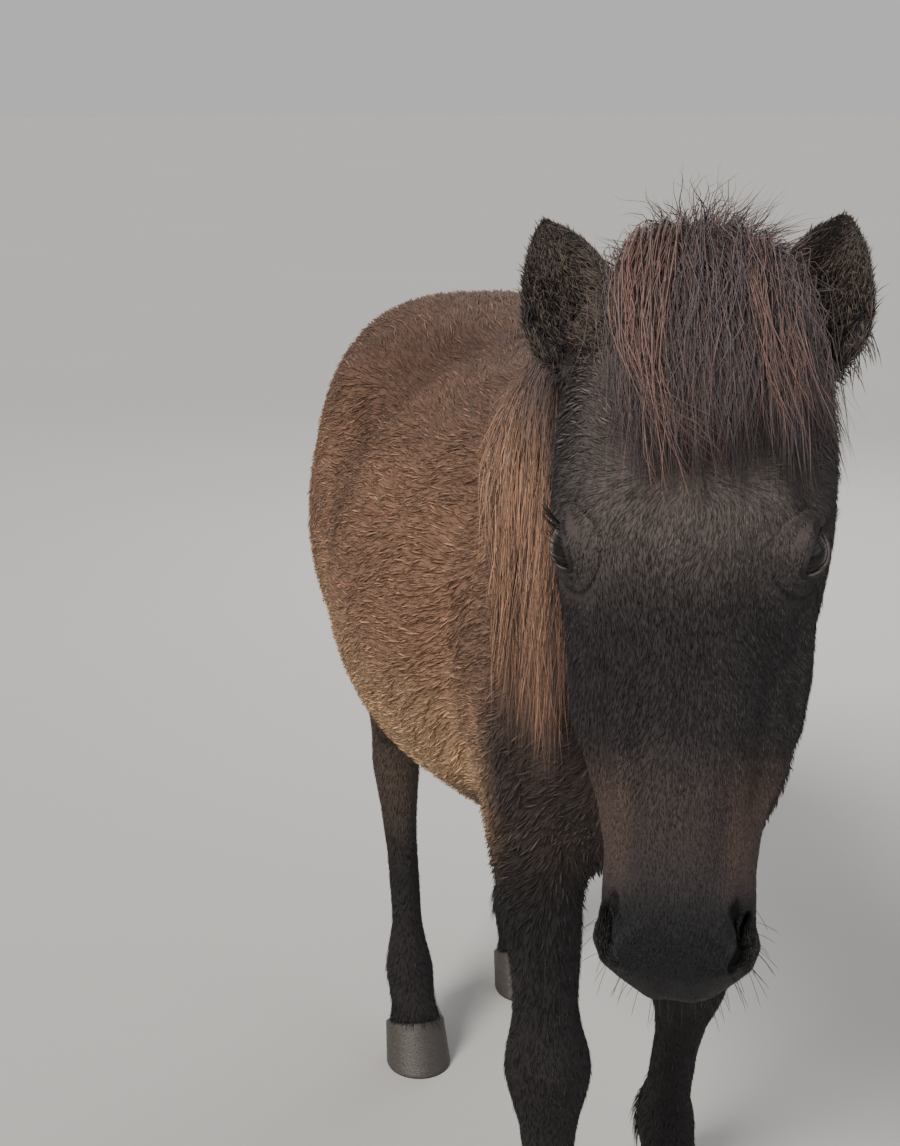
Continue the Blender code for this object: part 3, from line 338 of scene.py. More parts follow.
def make_studio():
    """The floor, the pale surroundings, a sun and two lamps."""
    corners = FLOOR_SIZE * np.array([(-1, -1, 0), (1, -1, 0), (1, 1, 0), (-1, 1, 0)])
    mesh = bpy.data.meshes.new("floor")
    mesh.from_pydata(corners.tolist(), [], [(0, 1, 2, 3)])
    floor = linked("floor", mesh)
    pale = Finish("pale_floor", Roughness=0.9)
    cloud = pale.node("TexNoise", Vector=pale.node("TexCoord", output=3), Scale=0.6, Detail=1.0)
    mesh.materials.append(pale.feed(Base_Color=pale.mix(*FLOOR_COLOURS, cloud)))
    floor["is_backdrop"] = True
    world = bpy.data.worlds.new("surroundings")
    world.use_nodes = True
    background = world.node_tree.nodes["Background"].inputs
    background["Color"].default_value = SKY_COLOUR
    background["Strength"].default_value = SKY_STRENGTH
    bpy.context.scene.world = world
    key = light("key", "SUN", (0.66, 0.62, -0.72), 4.3, (1.0, 0.94, 0.85))
    key.data.angle = SUN_WIDTH
    lamp("fill", (2.8, -2.6, 1.8), (0, -0.3, 0.7), 2.6, 25, (0.90, 0.95, 1.0))
    lamp("rim", (1.6, 3.0, 2.4), (0, 0, 0.8), 1.6, 60, (1.0, 0.97, 0.92))


make_studio()

# %% [markdown]
# ## Colours of the coat
# The pony is a brown: a dark dorsal side, a warm brown barrel, a golden belly that is lightened
# further as painted sunlight, black points on the legs, and a nearly black face, darkened further
# as a painted shadow, with a grey-brown forehead. Painted shade also darkens the hollow in front of
# the hip, the lower neck, shoulder and chest under the head, the elbows and the nostrils. Skin and
# tufts have to carry the same colours, so one function works the colour out from a point's place
# on the body alone.

# %% Colours of the coat
BARREL = (0.235, 0.132, 0.086)
BACK = (0.128, 0.074, 0.055)
# The belly's own golden tan, lightened further as painted sunlight.
SUNLIT_BELLY = (0.410, 0.260, 0.150)
# Painted shade for the hollow in front of the hip.
FLANK_HOLLOW_SHADE = (0.064, 0.036, 0.028)
# Painted shade of the head on the lower neck and shoulder.
SHOULDER_SHADE = (0.135, 0.085, 0.064)
# Painted shade under the head on the chest, and at the elbows.
CHEST_SHADE = (0.046, 0.034, 0.031)
POINTS = (0.019, 0.017, 0.018)
SHANK = (0.066, 0.050, 0.040)
# The face's own near-black, darkened further as a painted shadow.
SHADOWED_FACE = (0.030, 0.026, 0.028)
FOREHEAD = (0.100, 0.084, 0.079)
MUZZLE_SIDE = (0.100, 0.068, 0.058)
MUZZLE = (0.012, 0.012, 0.014)
EAR = (0.064, 0.053, 0.050)
# Where the painted shade in front of the hip lies, and how far it reaches.
HOLLOW_SHADE_LINE, HOLLOW_SHADE_REACH = ((0.13, 0.90), (0.12, 0.70)), 0.095
HEAD_SLANT = 0.281


def line_mask(y, z, start, end, reach):
    """1 along a line in the side view, fading to 0 at a distance."""
    start, end = np.array(start, float), np.array(end, float)
    length = np.linalg.norm(end - start)
    along = (end - start) / length
    across = np.array([-along[1], along[0]])
    run = (y - start[0]) * along[0] + (z - start[1]) * along[1]
    side = (y - start[0]) * across[0] + (z - start[1]) * across[1]
    return side.size().step(reach, 0.0) * run.step(-0.06, 0.02) * run.step(length + 0.06, length - 0.02)


def coat_colour(finish, spot):
    """The coat's colour at a place, with painted shade and light: trunk colours by height, then legs, then
    head, then ears.
    """
    x, y, z = (finish.along(spot, axis) for axis in np.eye(3))
    patchy = finish.node("TexNoise", Vector=spot, Scale=9.0, Detail=3.0) - 0.5
    height = z + patchy * 0.07
    colour = finish.mix(BARREL, BACK, height.step(0.76, 0.90))
    # Golden belly: its own tan, lightened further as painted sunlight.
    colour = finish.mix(colour, SUNLIT_BELLY, height.step(0.68, 0.52) * y.step(0.40, 0.28))
    # Painted shade: a dark band along the hollow in front of the hip.
    colour = finish.mix(colour, FLANK_HOLLOW_SHADE, line_mask(y, z, *HOLLOW_SHADE_LINE, HOLLOW_SHADE_REACH) * 0.48)
    # Painted shade of the head, darkening the lower neck and shoulder.
    shoulder_shade = (y + patchy * 0.10).step(-0.18, -0.32) * height.step(0.86, 0.80)
    colour = finish.mix(colour, SHOULDER_SHADE, shoulder_shade * 0.7)
    # Painted shade under the head on the chest, then at the elbows.
    colour = finish.mix(colour, CHEST_SHADE, (y + patchy * 0.08).step(-0.30, -0.40))
    colour = finish.mix(colour, CHEST_SHADE, height.step(0.68, 0.61) * y.step(-0.265, -0.325))
    fore = (y + z * 0.35).step(0.080, 0.020)
    colour = finish.mix(colour, POINTS, height.step(0.54, 0.47) * fore)
    hind = 1 - fore
    colour = finish.mix(colour, SHANK, height.step(0.50, 0.40) * hind * y.step(0.16, 0.24))
    colour = finish.mix(colour, POINTS, height.step(0.34, 0.22))
    a, b, c = (finish.along(spot, axis) - float(POLL @ axis) for axis in (DOWN, OUT, LEFT))
    jowl = (y + x * HEAD_SLANT + (z - 0.74).size() * -0.07).step(-0.482, -0.500)
    side = c.size()
    brow = (a + patchy * 0.05).step(0.20, 0.13) * side.step(0.110, 0.050) * b.step(-0.06, -0.01)
    # The face's own near-black, darkened further as a painted shadow.
    face = finish.mix(SHADOWED_FACE, FOREHEAD, brow)
    face = finish.mix(face, FOREHEAD, (a - 0.30).size().step(0.03, 0.0) * 0.10)
    band = (a - 0.315).size().step(0.060, 0.010) * b.step(-0.062, -0.030)
    face = finish.mix(face, MUZZLE_SIDE, band * 0.22)
    cheek = (a - 0.325).size().step(0.052, 0.012) * side.step(0.022, 0.040) * b.step(-0.066, -0.034)
    face = finish.mix(face, MUZZLE_SIDE, cheek * 0.75)
    face = finish.mix(face, MUZZLE, a.step(0.356, 0.386))
    # Painted shade: near black in the hollow of each nostril.
    nostril_shade = ((a - 0.392) / 0.020) ** 2 + ((side - 0.0445) / 0.0055) ** 2
    face = finish.mix(face, (0.002, 0.002, 0.002), nostril_shade.step(1.3, 0.4) * b.step(-0.060, -0.045))
    above = a.step(-0.005, -0.045) * side.step(0.045, 0.060)
    face = finish.mix(face, EAR, above)
    return finish.mix(colour, face, jowl * z.step(0.56, 0.60))


print("the coat has 13 named colours")

# %% [markdown]
# ## Meshes from arrays
# Every new piece starts as arrays of points and faces. `piece` puts them into a mesh, adds any
# values that a material wants to read, ties the piece to the pony's body and hides the solids
# that it stands for.

# %% Meshes from arrays


def piece(name, points, faces, material, replaces=(), values=None, patches=None):
    """A smooth mesh object from points in the drawing's frame and faces of one size."""
    points, faces = np.asarray(points, float), np.asarray(faces, np.int32)
    mesh = bpy.data.meshes.new(name)
    mesh.vertices.add(len(points))
    mesh.vertices.foreach_set("co", (points + SHIFT).astype(np.float32).ravel())
    mesh.loops.add(faces.size)
    mesh.loops.foreach_set("vertex_index", faces.ravel())
    mesh.polygons.add(len(faces))
    mesh.polygons.foreach_set("loop_start", np.arange(len(faces), dtype=np.int32) * faces.shape[1])
    mesh.update(calc_edges=True)
    for label, numbers in (values or {}).items():
        stored = mesh.attributes.new(label, "FLOAT", "POINT").data
        stored.foreach_set("value", np.asarray(numbers, np.float32))
    if patches is not None:
        layer = mesh.uv_layers.new(name="OFBake")
        layer.data.foreach_set("uv", patches[faces.ravel()].astype(np.float32).ravel())
    mesh.shade_smooth()
    mesh.materials.append(material)
    made = linked(name, mesh)
    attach(made, "root")
    if replaces:
        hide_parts(*replaces)
    return made


def grid_faces(rows, columns, closed_rows=False):
    """Quads of a grid of points whose columns close on themselves, and its rows if asked."""
    i = np.arange(rows if closed_rows else rows - 1)[:, None]
    j = np.arange(columns)[None, :]
    after, beside = (i + 1) % rows, (j + 1) % columns
    corners = [i * columns + j, i * columns + beside, after * columns + beside, after * columns + j]
    spread = [np.broadcast_to(corner, (len(i), columns)) for corner in corners]
    return np.stack(spread, -1).reshape(-1, 4)


def smooth_line(knots, count):
    """A smooth curve through the knots, at even steps of the distance between their places."""
    knots = np.asarray(knots, float)
    gaps = np.linalg.norm(np.diff(knots[:, :3], axis=0), axis=1)
    at_knot = np.concatenate([[0], np.cumsum(gaps)])
    slope = np.gradient(knots, at_knot, axis=0)
    at = np.linspace(0, at_knot[-1], count)
    i = np.clip(np.searchsorted(at_knot, at, side="right") - 1, 0, len(at_knot) - 2)
    step = (at_knot[i + 1] - at_knot[i])[:, None]
    s = (at - at_knot[i])[:, None] / step
    return (
        knots[i] * (1 + 2 * s) * (1 - s) ** 2
        + slope[i] * step * s * (1 - s) ** 2
        + knots[i + 1] * s * s * (3 - 2 * s)
        + slope[i + 1] * step * s * s * (s - 1)
    )


print("a grid of 3 by 4 points has", len(grid_faces(3, 4)), "faces")

# %% [markdown]
# ## One skin
# The solids divide the pony where a person would name its parts, but a living hide has no such
# seams. A voxel remesh of all the flesh together closes the gaps between the solids and gives
# an even net of points, which can then be smoothed until the solids' flat facets are gone.
# Carving it from scratch would repeat the whole drawing, and this keeps the outline exactly. A
# ball fills each eye socket first, because the thin walls round an open one would show.

# %% The flesh in one net
FLESH = [
    "torso", "neck", "head", "ear_left", "ear_right",
    "foreleg_left", "foreleg_right", "hindleg_left", "hindleg_right",
]
SKIN_GRAIN = 0.0027
SKIN_TRIANGLES = 190_000


def mesh_points(mesh):
    """A mesh's points as an array in the drawing's frame."""
    points = np.empty(len(mesh.vertices) * 3, np.float32)
    mesh.vertices.foreach_get("co", points)
    return points.reshape(-1, 3).astype(float) - SHIFT


def set_points(mesh, points):
    """Moves a mesh's points to places in the drawing's frame."""
    mesh.vertices.foreach_set("co", (points + SHIFT).astype(np.float32).ravel())
    mesh.update()


def mesh_normals(mesh):
    """A mesh's outward directions at its points."""
    normals = np.empty(len(mesh.vertices) * 3, np.float32)
    mesh.vertices.foreach_get("normal", normals)
    return normals.reshape(-1, 3).astype(float)


def flesh_net():
    """All the flesh solids as one evenly netted surface, with the eye sockets filled."""
    work = bmesh.new()
    for name in FLESH:
        work.from_mesh(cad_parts[name].data)
    for sign in (-1, 1):
        place = Matrix.Translation(tuple(gaze(sign)[0] + SHIFT))
        bmesh.ops.create_icosphere(work, subdivisions=4, radius=EYE_RADIUS + 0.0008, matrix=place)
    bmesh.ops.remove_doubles(work, verts=work.verts, dist=1e-5)
    mesh = bpy.data.meshes.new("skin")
    work.to_mesh(mesh)
    work.free()
    made = linked("skin", mesh)
    net = made.modifiers.new("net", "REMESH")
    net.mode = "VOXEL"
    net.voxel_size = SKIN_GRAIN
    return made


def applied(thing):
    """The object with its modifiers worked into its mesh."""
    graph = bpy.context.evaluated_depsgraph_get()
    mesh = bpy.data.meshes.new_from_object(thing.evaluated_get(graph))
    thing.modifiers.clear()
    thing.data = mesh
    return thing


FINE_SPOTS = [(0.150, -0.0125, side * 0.0665, 0.036) for side in (-1, 1)]
FINE_SPOTS += [(0.392, -0.010, side * 0.044, 0.030) for side in (-1, 1)]


def refine(mesh):
    """Halves the edges round the eyes and the nostrils, where the forms are only millimetres wide."""
    points = mesh_points(mesh)
    near = np.zeros(len(points), bool)
    for down, out, left, reach in FINE_SPOTS:
        near |= np.linalg.norm(points - on_head(down, out, left), axis=1) < reach
    work = bmesh.new()
    work.from_mesh(mesh)
    edges = [edge for edge in work.edges if near[edge.verts[0].index] and near[edge.verts[1].index]]
    bmesh.ops.subdivide_edges(work, edges=edges, cuts=1, use_grid_fill=True)
    bmesh.ops.triangulate(work, faces=[face for face in work.faces if len(face.verts) > 4])
    work.to_mesh(mesh)
    work.free()


skin = applied(flesh_net())
refine(skin.data)
print("the net has", len(skin.data.vertices), "points")

# %% [markdown]
# ## Parts of the hide
# The coat's depth, its hair length and its lie all change from part to part. Each part is a
# share between 0 and 1 that fades over a few centimetres, so that nothing changes at a line.

# %% Parts of the hide
EAR_ROOTS = {-1: (0.018, -0.048, -0.064), 1: (0.018, -0.048, 0.062)}
EAR_LEANS = {-1: np.radians(23), 1: np.radians(17)}
JOWL_HEIGHTS = [0.30, 0.74, 0.797, 1.03, 1.12]
JOWL_PLACES = [-0.503, -0.503, -0.480, -0.520, -0.535]


def ear_axis(sign):
    """An ear's root, the way it rises and the way its cup opens."""
    lean = EAR_LEANS[sign]
    rise = unit(np.array([0, 0, 1.0]) * np.cos(lean) + sign * LEFT * np.sin(lean) + 0.08 * OUT)
    face = unit(0.92 * OUT + sign * 0.42 * LEFT)
    return on_head(*EAR_ROOTS[sign]), rise, unit(face - (face @ rise) * rise)


def ear_share(points, sign):
    """1 on the free part of an ear and 0 elsewhere, by height above its root."""
    root, rise, _ = ear_axis(sign)
    height = (points - root) @ rise
    spread = np.linalg.norm(points - root - height[:, None] * rise, axis=1)
    return smoothstep(0.004, 0.016, height) * (spread < 0.060)


def head_share(points):
    """1 in front of the jowl's line, which slants with the head's turn, and 0 behind it."""
    line = np.interp(points[:, 2], JOWL_HEIGHTS, JOWL_PLACES)
    return smoothstep(-0.012, 0.012, line - points[:, 1] - HEAD_SLANT * points[:, 0])


def shares(points):
    """The shares of ears, head, legs and trunk at each point, which add up to 1."""
    ears = ear_share(points, -1) + ear_share(points, 1)
    head = head_share(points) * (1 - ears)
    legs = smoothstep(0.52, 0.42, points[:, 2]) * (1 - head - ears)
    return ears, head, legs, 1 - ears - head - legs


EAR_COAT, FACE_COAT, LEG_COAT, TRUNK_COAT = 0.0011, 0.0020, 0.0028, 0.0045
BARER_MUZZLE, BARER_LIDS = 0.0014, 0.6


def coat_depth(points):
    """How thick the coat is over the skin: deepest on the trunk, less round the eyes and least
    on the muzzle."""
    ears, head, legs, trunk = shares(points)
    muzzle = smoothstep(0.30, 0.38, head_places(points)[0])
    by_eye = smoothstep(0.036, 0.026, eye_distance(points))
    on_face = (FACE_COAT - BARER_MUZZLE * muzzle) * (1 - BARER_LIDS * by_eye)
    return EAR_COAT * ears + on_face * head + LEG_COAT * legs + TRUNK_COAT * trunk


print("coat depth on the muzzle:", round(float(coat_depth(on_head(0.40, 0.0, 0.0)[None])[0]), 4))

# %% [markdown]
# ## Smoothing and carving
# Moving every point towards the middle of its neighbours melts facets away. The trunk takes
# many rounds. The head takes few, because lips and nostrils are only a few points wide. Then
# folds, veins and the mouth's line are raised or sunk along named lines.

# %% Smoothing and carving
TRUNK_ROUNDS, ROUNDS = 34, 5


def relaxed(points, edges, rounds, weight):
    """Each point moved half way to its neighbours' mean, times its weight, a number of times."""
    first, second = edges.T
    count = np.bincount(edges.ravel(), minlength=len(points))[:, None]
    for _ in range(rounds):
        total = np.column_stack([
            np.bincount(first, points[second, axis], len(points))
            + np.bincount(second, points[first, axis], len(points))
            for axis in range(3)
        ])
        points = points + 0.5 * weight[:, None] * (total / count - points)
    return points


def line_distance(points, line):
    """How far each point is from a line of several straight pieces."""
    near = np.full(len(points), 9.0)
    for start, end in zip(line[:-1], line[1:]):
        run = end - start
        share = np.clip((points - start) @ run / (run @ run), 0, 1)
        near = np.minimum(near, np.linalg.norm(points - start - share[:, None] * run, axis=1))
    return near


def swollen(points, normals, line, reach, height):
    """Points raised along their normals by height times exp(-(distance to the line / reach)^2)."""
    return points + normals * (height * np.exp(-((line_distance(points, line) / reach) ** 2)))[:, None]


FACE_LINES = (
    ([(0.108, 0.002, 0.079), (0.121, 0.012, 0.074), (0.140, 0.018, 0.068)], 0.0030, -0.0016),
    ([(0.101, 0.006, 0.080), (0.113, 0.018, 0.073), (0.134, 0.025, 0.064)], 0.0030, -0.0013),
    ([(0.184, -0.004, 0.080), (0.192, 0.004, 0.073)], 0.0030, -0.0012),
    ([(0.190, -0.012, 0.082), (0.200, 0.000, 0.073)], 0.0030, -0.0010),
    ([(0.215, -0.030, 0.080), (0.250, -0.036, 0.074), (0.290, -0.040, 0.060), (0.330, -0.030, 0.053)],
     0.0040, 0.0016),
    ([(0.378, 0.004, 0.044), (0.394, -0.002, 0.050), (0.408, -0.014, 0.046)], 0.0050, 0.0026),
    ([(0.376, -0.014, 0.055), (0.392, -0.022, 0.053), (0.406, -0.026, 0.044)], 0.0045, 0.0018),
    ([(0.350, -0.052, 0.055), (0.362, -0.060, 0.050)], 0.0045, -0.0018),
)
BODY_LINES = (
    ([(0.070, 0.130, 0.888), (0.135, 0.115, 0.845), (0.175, 0.125, 0.800), (0.190, 0.120, 0.740),
      (0.185, 0.150, 0.660)], 0.036, -0.0070),
    ([(0.120, 0.215, 0.868), (0.150, 0.225, 0.840)], 0.034, 0.0060),
    ([(0.150, -0.190, 0.800), (0.160, -0.195, 0.700), (0.140, -0.200, 0.600)], 0.026, -0.0040),
    ([(0.136, -0.200, 0.570), (0.112, -0.165, 0.525)], 0.022, -0.0050),
    ([(0.172, 0.220, 0.610), (0.150, 0.250, 0.540)], 0.022, -0.0045),
)
NOSTRIL = ((0.373, 0.0400), (0.384, 0.0440), (0.396, 0.0450), (0.407, 0.0400))
NOSTRIL_REACH, NOSTRIL_DEPTH, NOSTRIL_RIM = 0.0052, 0.0100, 0.0024
MOUTH_START = 0.355
OPENING_HALF_LENGTH, OPENING_HALF_HEIGHT = 0.80, 0.42
SOCKET_SPREADS = [0.0, 0.08, 0.16, 0.20, 0.24, 0.28, 0.34, 0.42]
SOCKET_REACH = 0.032
SOCKET_RISES = [-1.6, -0.4, 0.6, 0.9, 1.5, 2.1, 3.2, 9.0]
COVER_SPREADS, COVER_RISES = [0.22, 0.34, 0.60, 0.90], [-9.0, 1.3, 1.3, 0.8]


def lid_spread(points, sign):
    """How far outside the almond opening each point lies, as an angle seen from the eyeball, and
    its distance from the eyeball's centre."""
    centre, look, long, short = gaze(sign)
    away = points - centre
    distance = np.linalg.norm(away, axis=1)
    angle = np.arccos(np.clip(away @ look / distance, -1, 1))
    along, above = away @ long, away @ short
    scale = angle / np.maximum(np.hypot(along, above), 1e-9)
    spreads = np.linspace(-0.3, 1.2, 151)[:, None]
    length, height = OPENING_HALF_LENGTH + spreads, OPENING_HALF_HEIGHT + spreads
    outside = np.hypot(along * scale / length, above * scale / height) > 1
    return -0.3 + 0.01 * outside.sum(0), distance


def bedded(points):
    """Points round each eye lowered to leave a bed for the lids, to radius R + rise(spread), and
    farther out held above the eyeball."""
    for sign in (-1, 1):
        centre = gaze(sign)[0]
        near = np.flatnonzero(np.linalg.norm(points - centre, axis=1) < SOCKET_REACH)
        spread, distance = lid_spread(points[near], sign)
        most = EYE_RADIUS + 0.001 * np.interp(spread, SOCKET_SPREADS, SOCKET_RISES)
        least = EYE_RADIUS + 0.001 * np.interp(spread, COVER_SPREADS, COVER_RISES)
        scale = np.clip(distance, least, most) / distance
        points[near] = centre + (points[near] - centre) * scale[:, None]
    return points


def nostrils(points):
    """Points pushed in along a comma: depth * exp(-(distance / reach)^2), inside a raised rim."""
    down, out, left = head_places(points)
    for sign in (-1, 1):
        line = []
        for a, c in NOSTRIL:
            near = (np.abs(down - a) < 0.004) & (np.abs(left - sign * c) < 0.004)
            line.append(on_head(a, out[near].max() - 0.001, sign * c))
        away = line_distance(points, np.array(line))
        inwards = unit(-0.80 * OUT - sign * 0.45 * LEFT + 0.20 * DOWN)
        points = points + (NOSTRIL_DEPTH * np.exp(-((away / NOSTRIL_REACH) ** 2)))[:, None] * inwards
        rim = NOSTRIL_RIM * np.exp(-(((away - 0.0098) / 0.0036) ** 2))
        points = points - rim[:, None] * inwards
    return points


def mouth_groove(points, normals):
    """Points sunk along the line between the lips, by 3 mm times exp(-(distance / 1.8 mm)^2)."""
    down, out, left = head_places(points)
    bend = np.clip(left / 0.05, -1, 1)
    between = -0.0665 + 0.012 * np.sqrt(1 - bend * bend) - out
    depth = 0.0030 * np.exp(-((between / 0.0018) ** 2)) * smoothstep(MOUTH_START, MOUTH_START + 0.012, down)
    return points - normals * depth[:, None]


def carve(thing):
    """Smooths the net, adds the face's lines, and moves it in by the coat's depth."""
    mesh = thing.data
    edges = np.empty(len(mesh.edges) * 2, np.int64)
    mesh.edges.foreach_get("vertices", edges)
    edges = edges.reshape(-1, 2)
    points = mesh_points(mesh)
    ears, head, legs, trunk = shares(points)
    points = relaxed(points, edges, TRUNK_ROUNDS, trunk + 0.35 * legs)
    points = relaxed(points, edges, ROUNDS, np.ones(len(points)))
    set_points(mesh, points)
    normals = mesh_normals(mesh)
    for places, reach, height in FACE_LINES:
        for sign in (-1, 1):
            line = np.array([on_head(a, b, sign * c) for a, b, c in places])
            points = swollen(points, normals, line, reach, height)
    for places, reach, height in BODY_LINES:
        for sign in (-1, 1):
            line = np.array(places) * (sign, 1, 1)
            points = swollen(points, normals, line, reach, height)
    points = nostrils(mouth_groove(points, normals))
    set_points(mesh, points)
    normals = mesh_normals(mesh)
    points = bedded(points - normals * coat_depth(points)[:, None])
    set_points(mesh, points)
    return head + ears


fine_parts = carve(skin)
print("points on head and ears:", int((fine_parts > 0.5).sum()))

# %% [markdown]
# ## Fewer triangles where they don't show
# The net is as fine on the belly as on the lips. Decimate takes triangles away where the form
# is plain. A group of points says where it may, and the head and ears are left nearly whole.

# %% Thinning the net


def thin_out(thing, keep, most):
    """Takes triangles away, least where keep is high, until at most this many are left."""
    group = thing.vertex_groups.new(name="plain")
    for level in range(1, 5):
        chosen = np.flatnonzero(np.round((1 - 0.75 * keep) * 4).astype(int) == level)
        group.add(chosen.tolist(), level / 4, "REPLACE")
    thin = thing.modifiers.new("thin", "DECIMATE")
    thin.vertex_group = group.name
    thin.vertex_group_factor = 1.0
    thin.use_collapse_triangulate = True
    thin.ratio = most / (2 * len(thing.data.polygons))
    applied(thing)
    thing.vertex_groups.clear()


thin_out(skin, fine_parts, SKIN_TRIANGLES)
print("the skin has", len(skin.data.polygons), "triangles")

# %% [markdown]
# ## Skin material
# Skin shows between the tufts, on the lips and round the eyes. It carries the coat's colours a
# little darker, because it lies in the tufts' shade, and fine streaks drawn out along the lie
# of the hair: the short flat undercoat is this bump. Bare skin at the muzzle is smoother.

# %% Skin material
TRUNK_LIE, LEG_LIE = (0, 0.80, -0.60), (0, 0.05, -1.0)


def hide_finish(name, shade, attributes):
    """The coat's material, for the skin itself or for tufts that carry tone and along values."""
    finish = Finish(name, Roughness=0.78, Specular_IOR_Level=0.20)
    spot = finish.place()
    colour = coat_colour(finish, spot)
    z = finish.along(spot, (0, 0, 1))
    a = finish.along(spot, DOWN) - float(POLL @ DOWN)
    on_face = finish.along(spot, (HEAD_SLANT, 1, 0)).step(-0.48, -0.51)
    trunk_grain = finish.grain(spot, TRUNK_LIE, 520, 70)
    leg_grain = finish.grain(spot, LEG_LIE, 620, 80)
    face_grain = finish.grain(spot, DOWN, 900, 130)
    low = z.step(0.50, 0.42)
    grain = finish.node("Mix", {"data_type": "FLOAT"}, _0=low, _2=trunk_grain, _3=leg_grain)
    grain = finish.node("Mix", {"data_type": "FLOAT"}, _0=on_face, _2=grain, _3=face_grain)
    if attributes:
        tone, along = finish.value("tone"), finish.value("along")
        # Darker roots and lighter tips: painted shade among the roots, and painted sunlight over the tips'
        # own tan.
        factor = shade * (0.62 + 0.85 * tone * tone) * (0.72 + 0.50 * along)
        finish.feed(Base_Color=finish.brighten(colour, factor))
    else:
        bare = a.step(0.368, 0.392) * on_face
        finish.feed(
            Base_Color=finish.brighten(colour, shade * (0.55 + 0.75 * grain)),
            Roughness=0.80 - 0.24 * bare,
            Normal=finish.bump(grain, 0.0016),
        )
    return finish.material


skin_finish = hide_finish("hide", 0.80, attributes=False)
skin.data.materials.clear()
skin.data.materials.append(skin_finish)
skin.data.shade_smooth()
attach(skin, "root")
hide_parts(*FLESH)
print("skin material nodes:", len(skin_finish.node_tree.nodes))

# %% [markdown]
# ## Strands
# A tuft, a lock and a single hair are the same shape at different sizes: a low three-cornered
# section carried along a curved path and drawn to a point. `strands` makes thousands at once.
# Each gets a tiny patch on the map that colours are baked to, at its root's place.

# %% Strands
MOST_IN_PIECE = 198_000
PATCH = 0.003
SECTION_DROP = 0.35
ROOT_DEPTH = 0.0003


def strands(name, paths, outward, width, thickness, roots, finish, values, replaces=()):
    """Closed tapered strands. paths is (strands, stations, 3), outward the way a strand's ridge
    points, width and thickness (strands, stations), and roots each root's place on the map."""
    count, stations, _ = paths.shape
    tangent = unit(np.gradient(paths, axis=1))
    side = unit(np.cross(tangent, outward))
    ridge = np.cross(side, tangent)
    wide, thick = width[..., None], thickness[..., None]
    low = paths - SECTION_DROP * ridge * thick
    body = np.stack([low + side * wide, paths + ridge * thick, low - side * wide], axis=2)[:, :-1]
    each = 3 * (stations - 1) + 1
    points = np.concatenate([body.reshape(count, -1, 3), paths[:, -1:]], axis=1)
    j, k = np.arange(stations - 2)[:, None] * 3, np.arange(3)[None, :]
    a, b = j + k, j + (k + 1) % 3
    sides = np.stack([a, b, b + 3, a, b + 3, a + 3], -1).reshape(-1, 3)
    last = 3 * (stations - 2)
    tip = [(last + i, last + (i + 1) % 3, each - 1) for i in range(3)]
    faces = np.concatenate([sides, tip, [(2, 1, 0)]])
    corners = points[0][faces]
    if np.einsum("ij,ij->i", corners[:, 0], np.cross(corners[:, 1], corners[:, 2])).sum() < 0:
        faces = faces[:, ::-1]
    along = np.append(np.repeat(np.linspace(0, 1, stations)[:-1], 3), 1.0)
    across = np.append(np.tile([0.0, 0.5, 1.0], stations - 1), 0.5)
    patch = PATCH * np.column_stack([across, along])
    parts = int(np.ceil(count * len(faces) / MOST_IN_PIECE))
    made = []
    for part in range(parts):
        chosen = np.arange(part, count, parts)
        numbers = {label: np.repeat(numbers[chosen], each) for label, numbers in values.items()}
        numbers["along"] = np.tile(along, len(chosen))
        made.append(piece(
            name if parts == 1 else f"{name}_{part + 1}",
            points[chosen].reshape(-1, 3),
            (faces[None] + each * np.arange(len(chosen))[:, None, None]).reshape(-1, 3),
            finish, replaces, numbers,
            (roots[chosen][:, None] * (1 - PATCH) + patch[None]).reshape(-1, 2),
        ))
    print(name, "-", count, "strands,", count * len(faces), "triangles in", parts, "pieces")
    return made


def stations_along(stations):
    """Shares from 0 to 1 along a strand, shaped to multiply paths."""
    return np.linspace(0, 1, stations)[None, :, None]


def single_hairs(name, paths, width, roots, material, values, flatness=1.0):
    """Hairs of one width from root to tip."""
    wide = np.full(paths.shape[:2], width)
    outward = np.broadcast_to(OUT, paths.shape)
    return strands(name, paths, outward, wide, flatness * wide, roots, material, values)


# %% [markdown]
# ## The lie of the coat
# A pony's hair lies back along the trunk and falls down its sides, runs straight down the legs,
# and on the face spreads from a whorl between the eyes. Every direction here is flattened onto
# the skin, then turned a little by slow waves, so that the coat looks brushed by weather.

# %% The lie of the coat
WHORL_DOWN = 0.105


def waves(points, pitch, seed):
    """A slowly changing value between about -1 and 1: the mean of four sine waves in space."""
    draw = np.random.default_rng(seed)
    ways = unit(draw.normal(size=(4, 3))) * (2 * np.pi / pitch) * draw.uniform(0.7, 1.4, (4, 1))
    return np.sin(points @ ways.T + draw.uniform(0, 6.28, 4)).mean(1) * 2


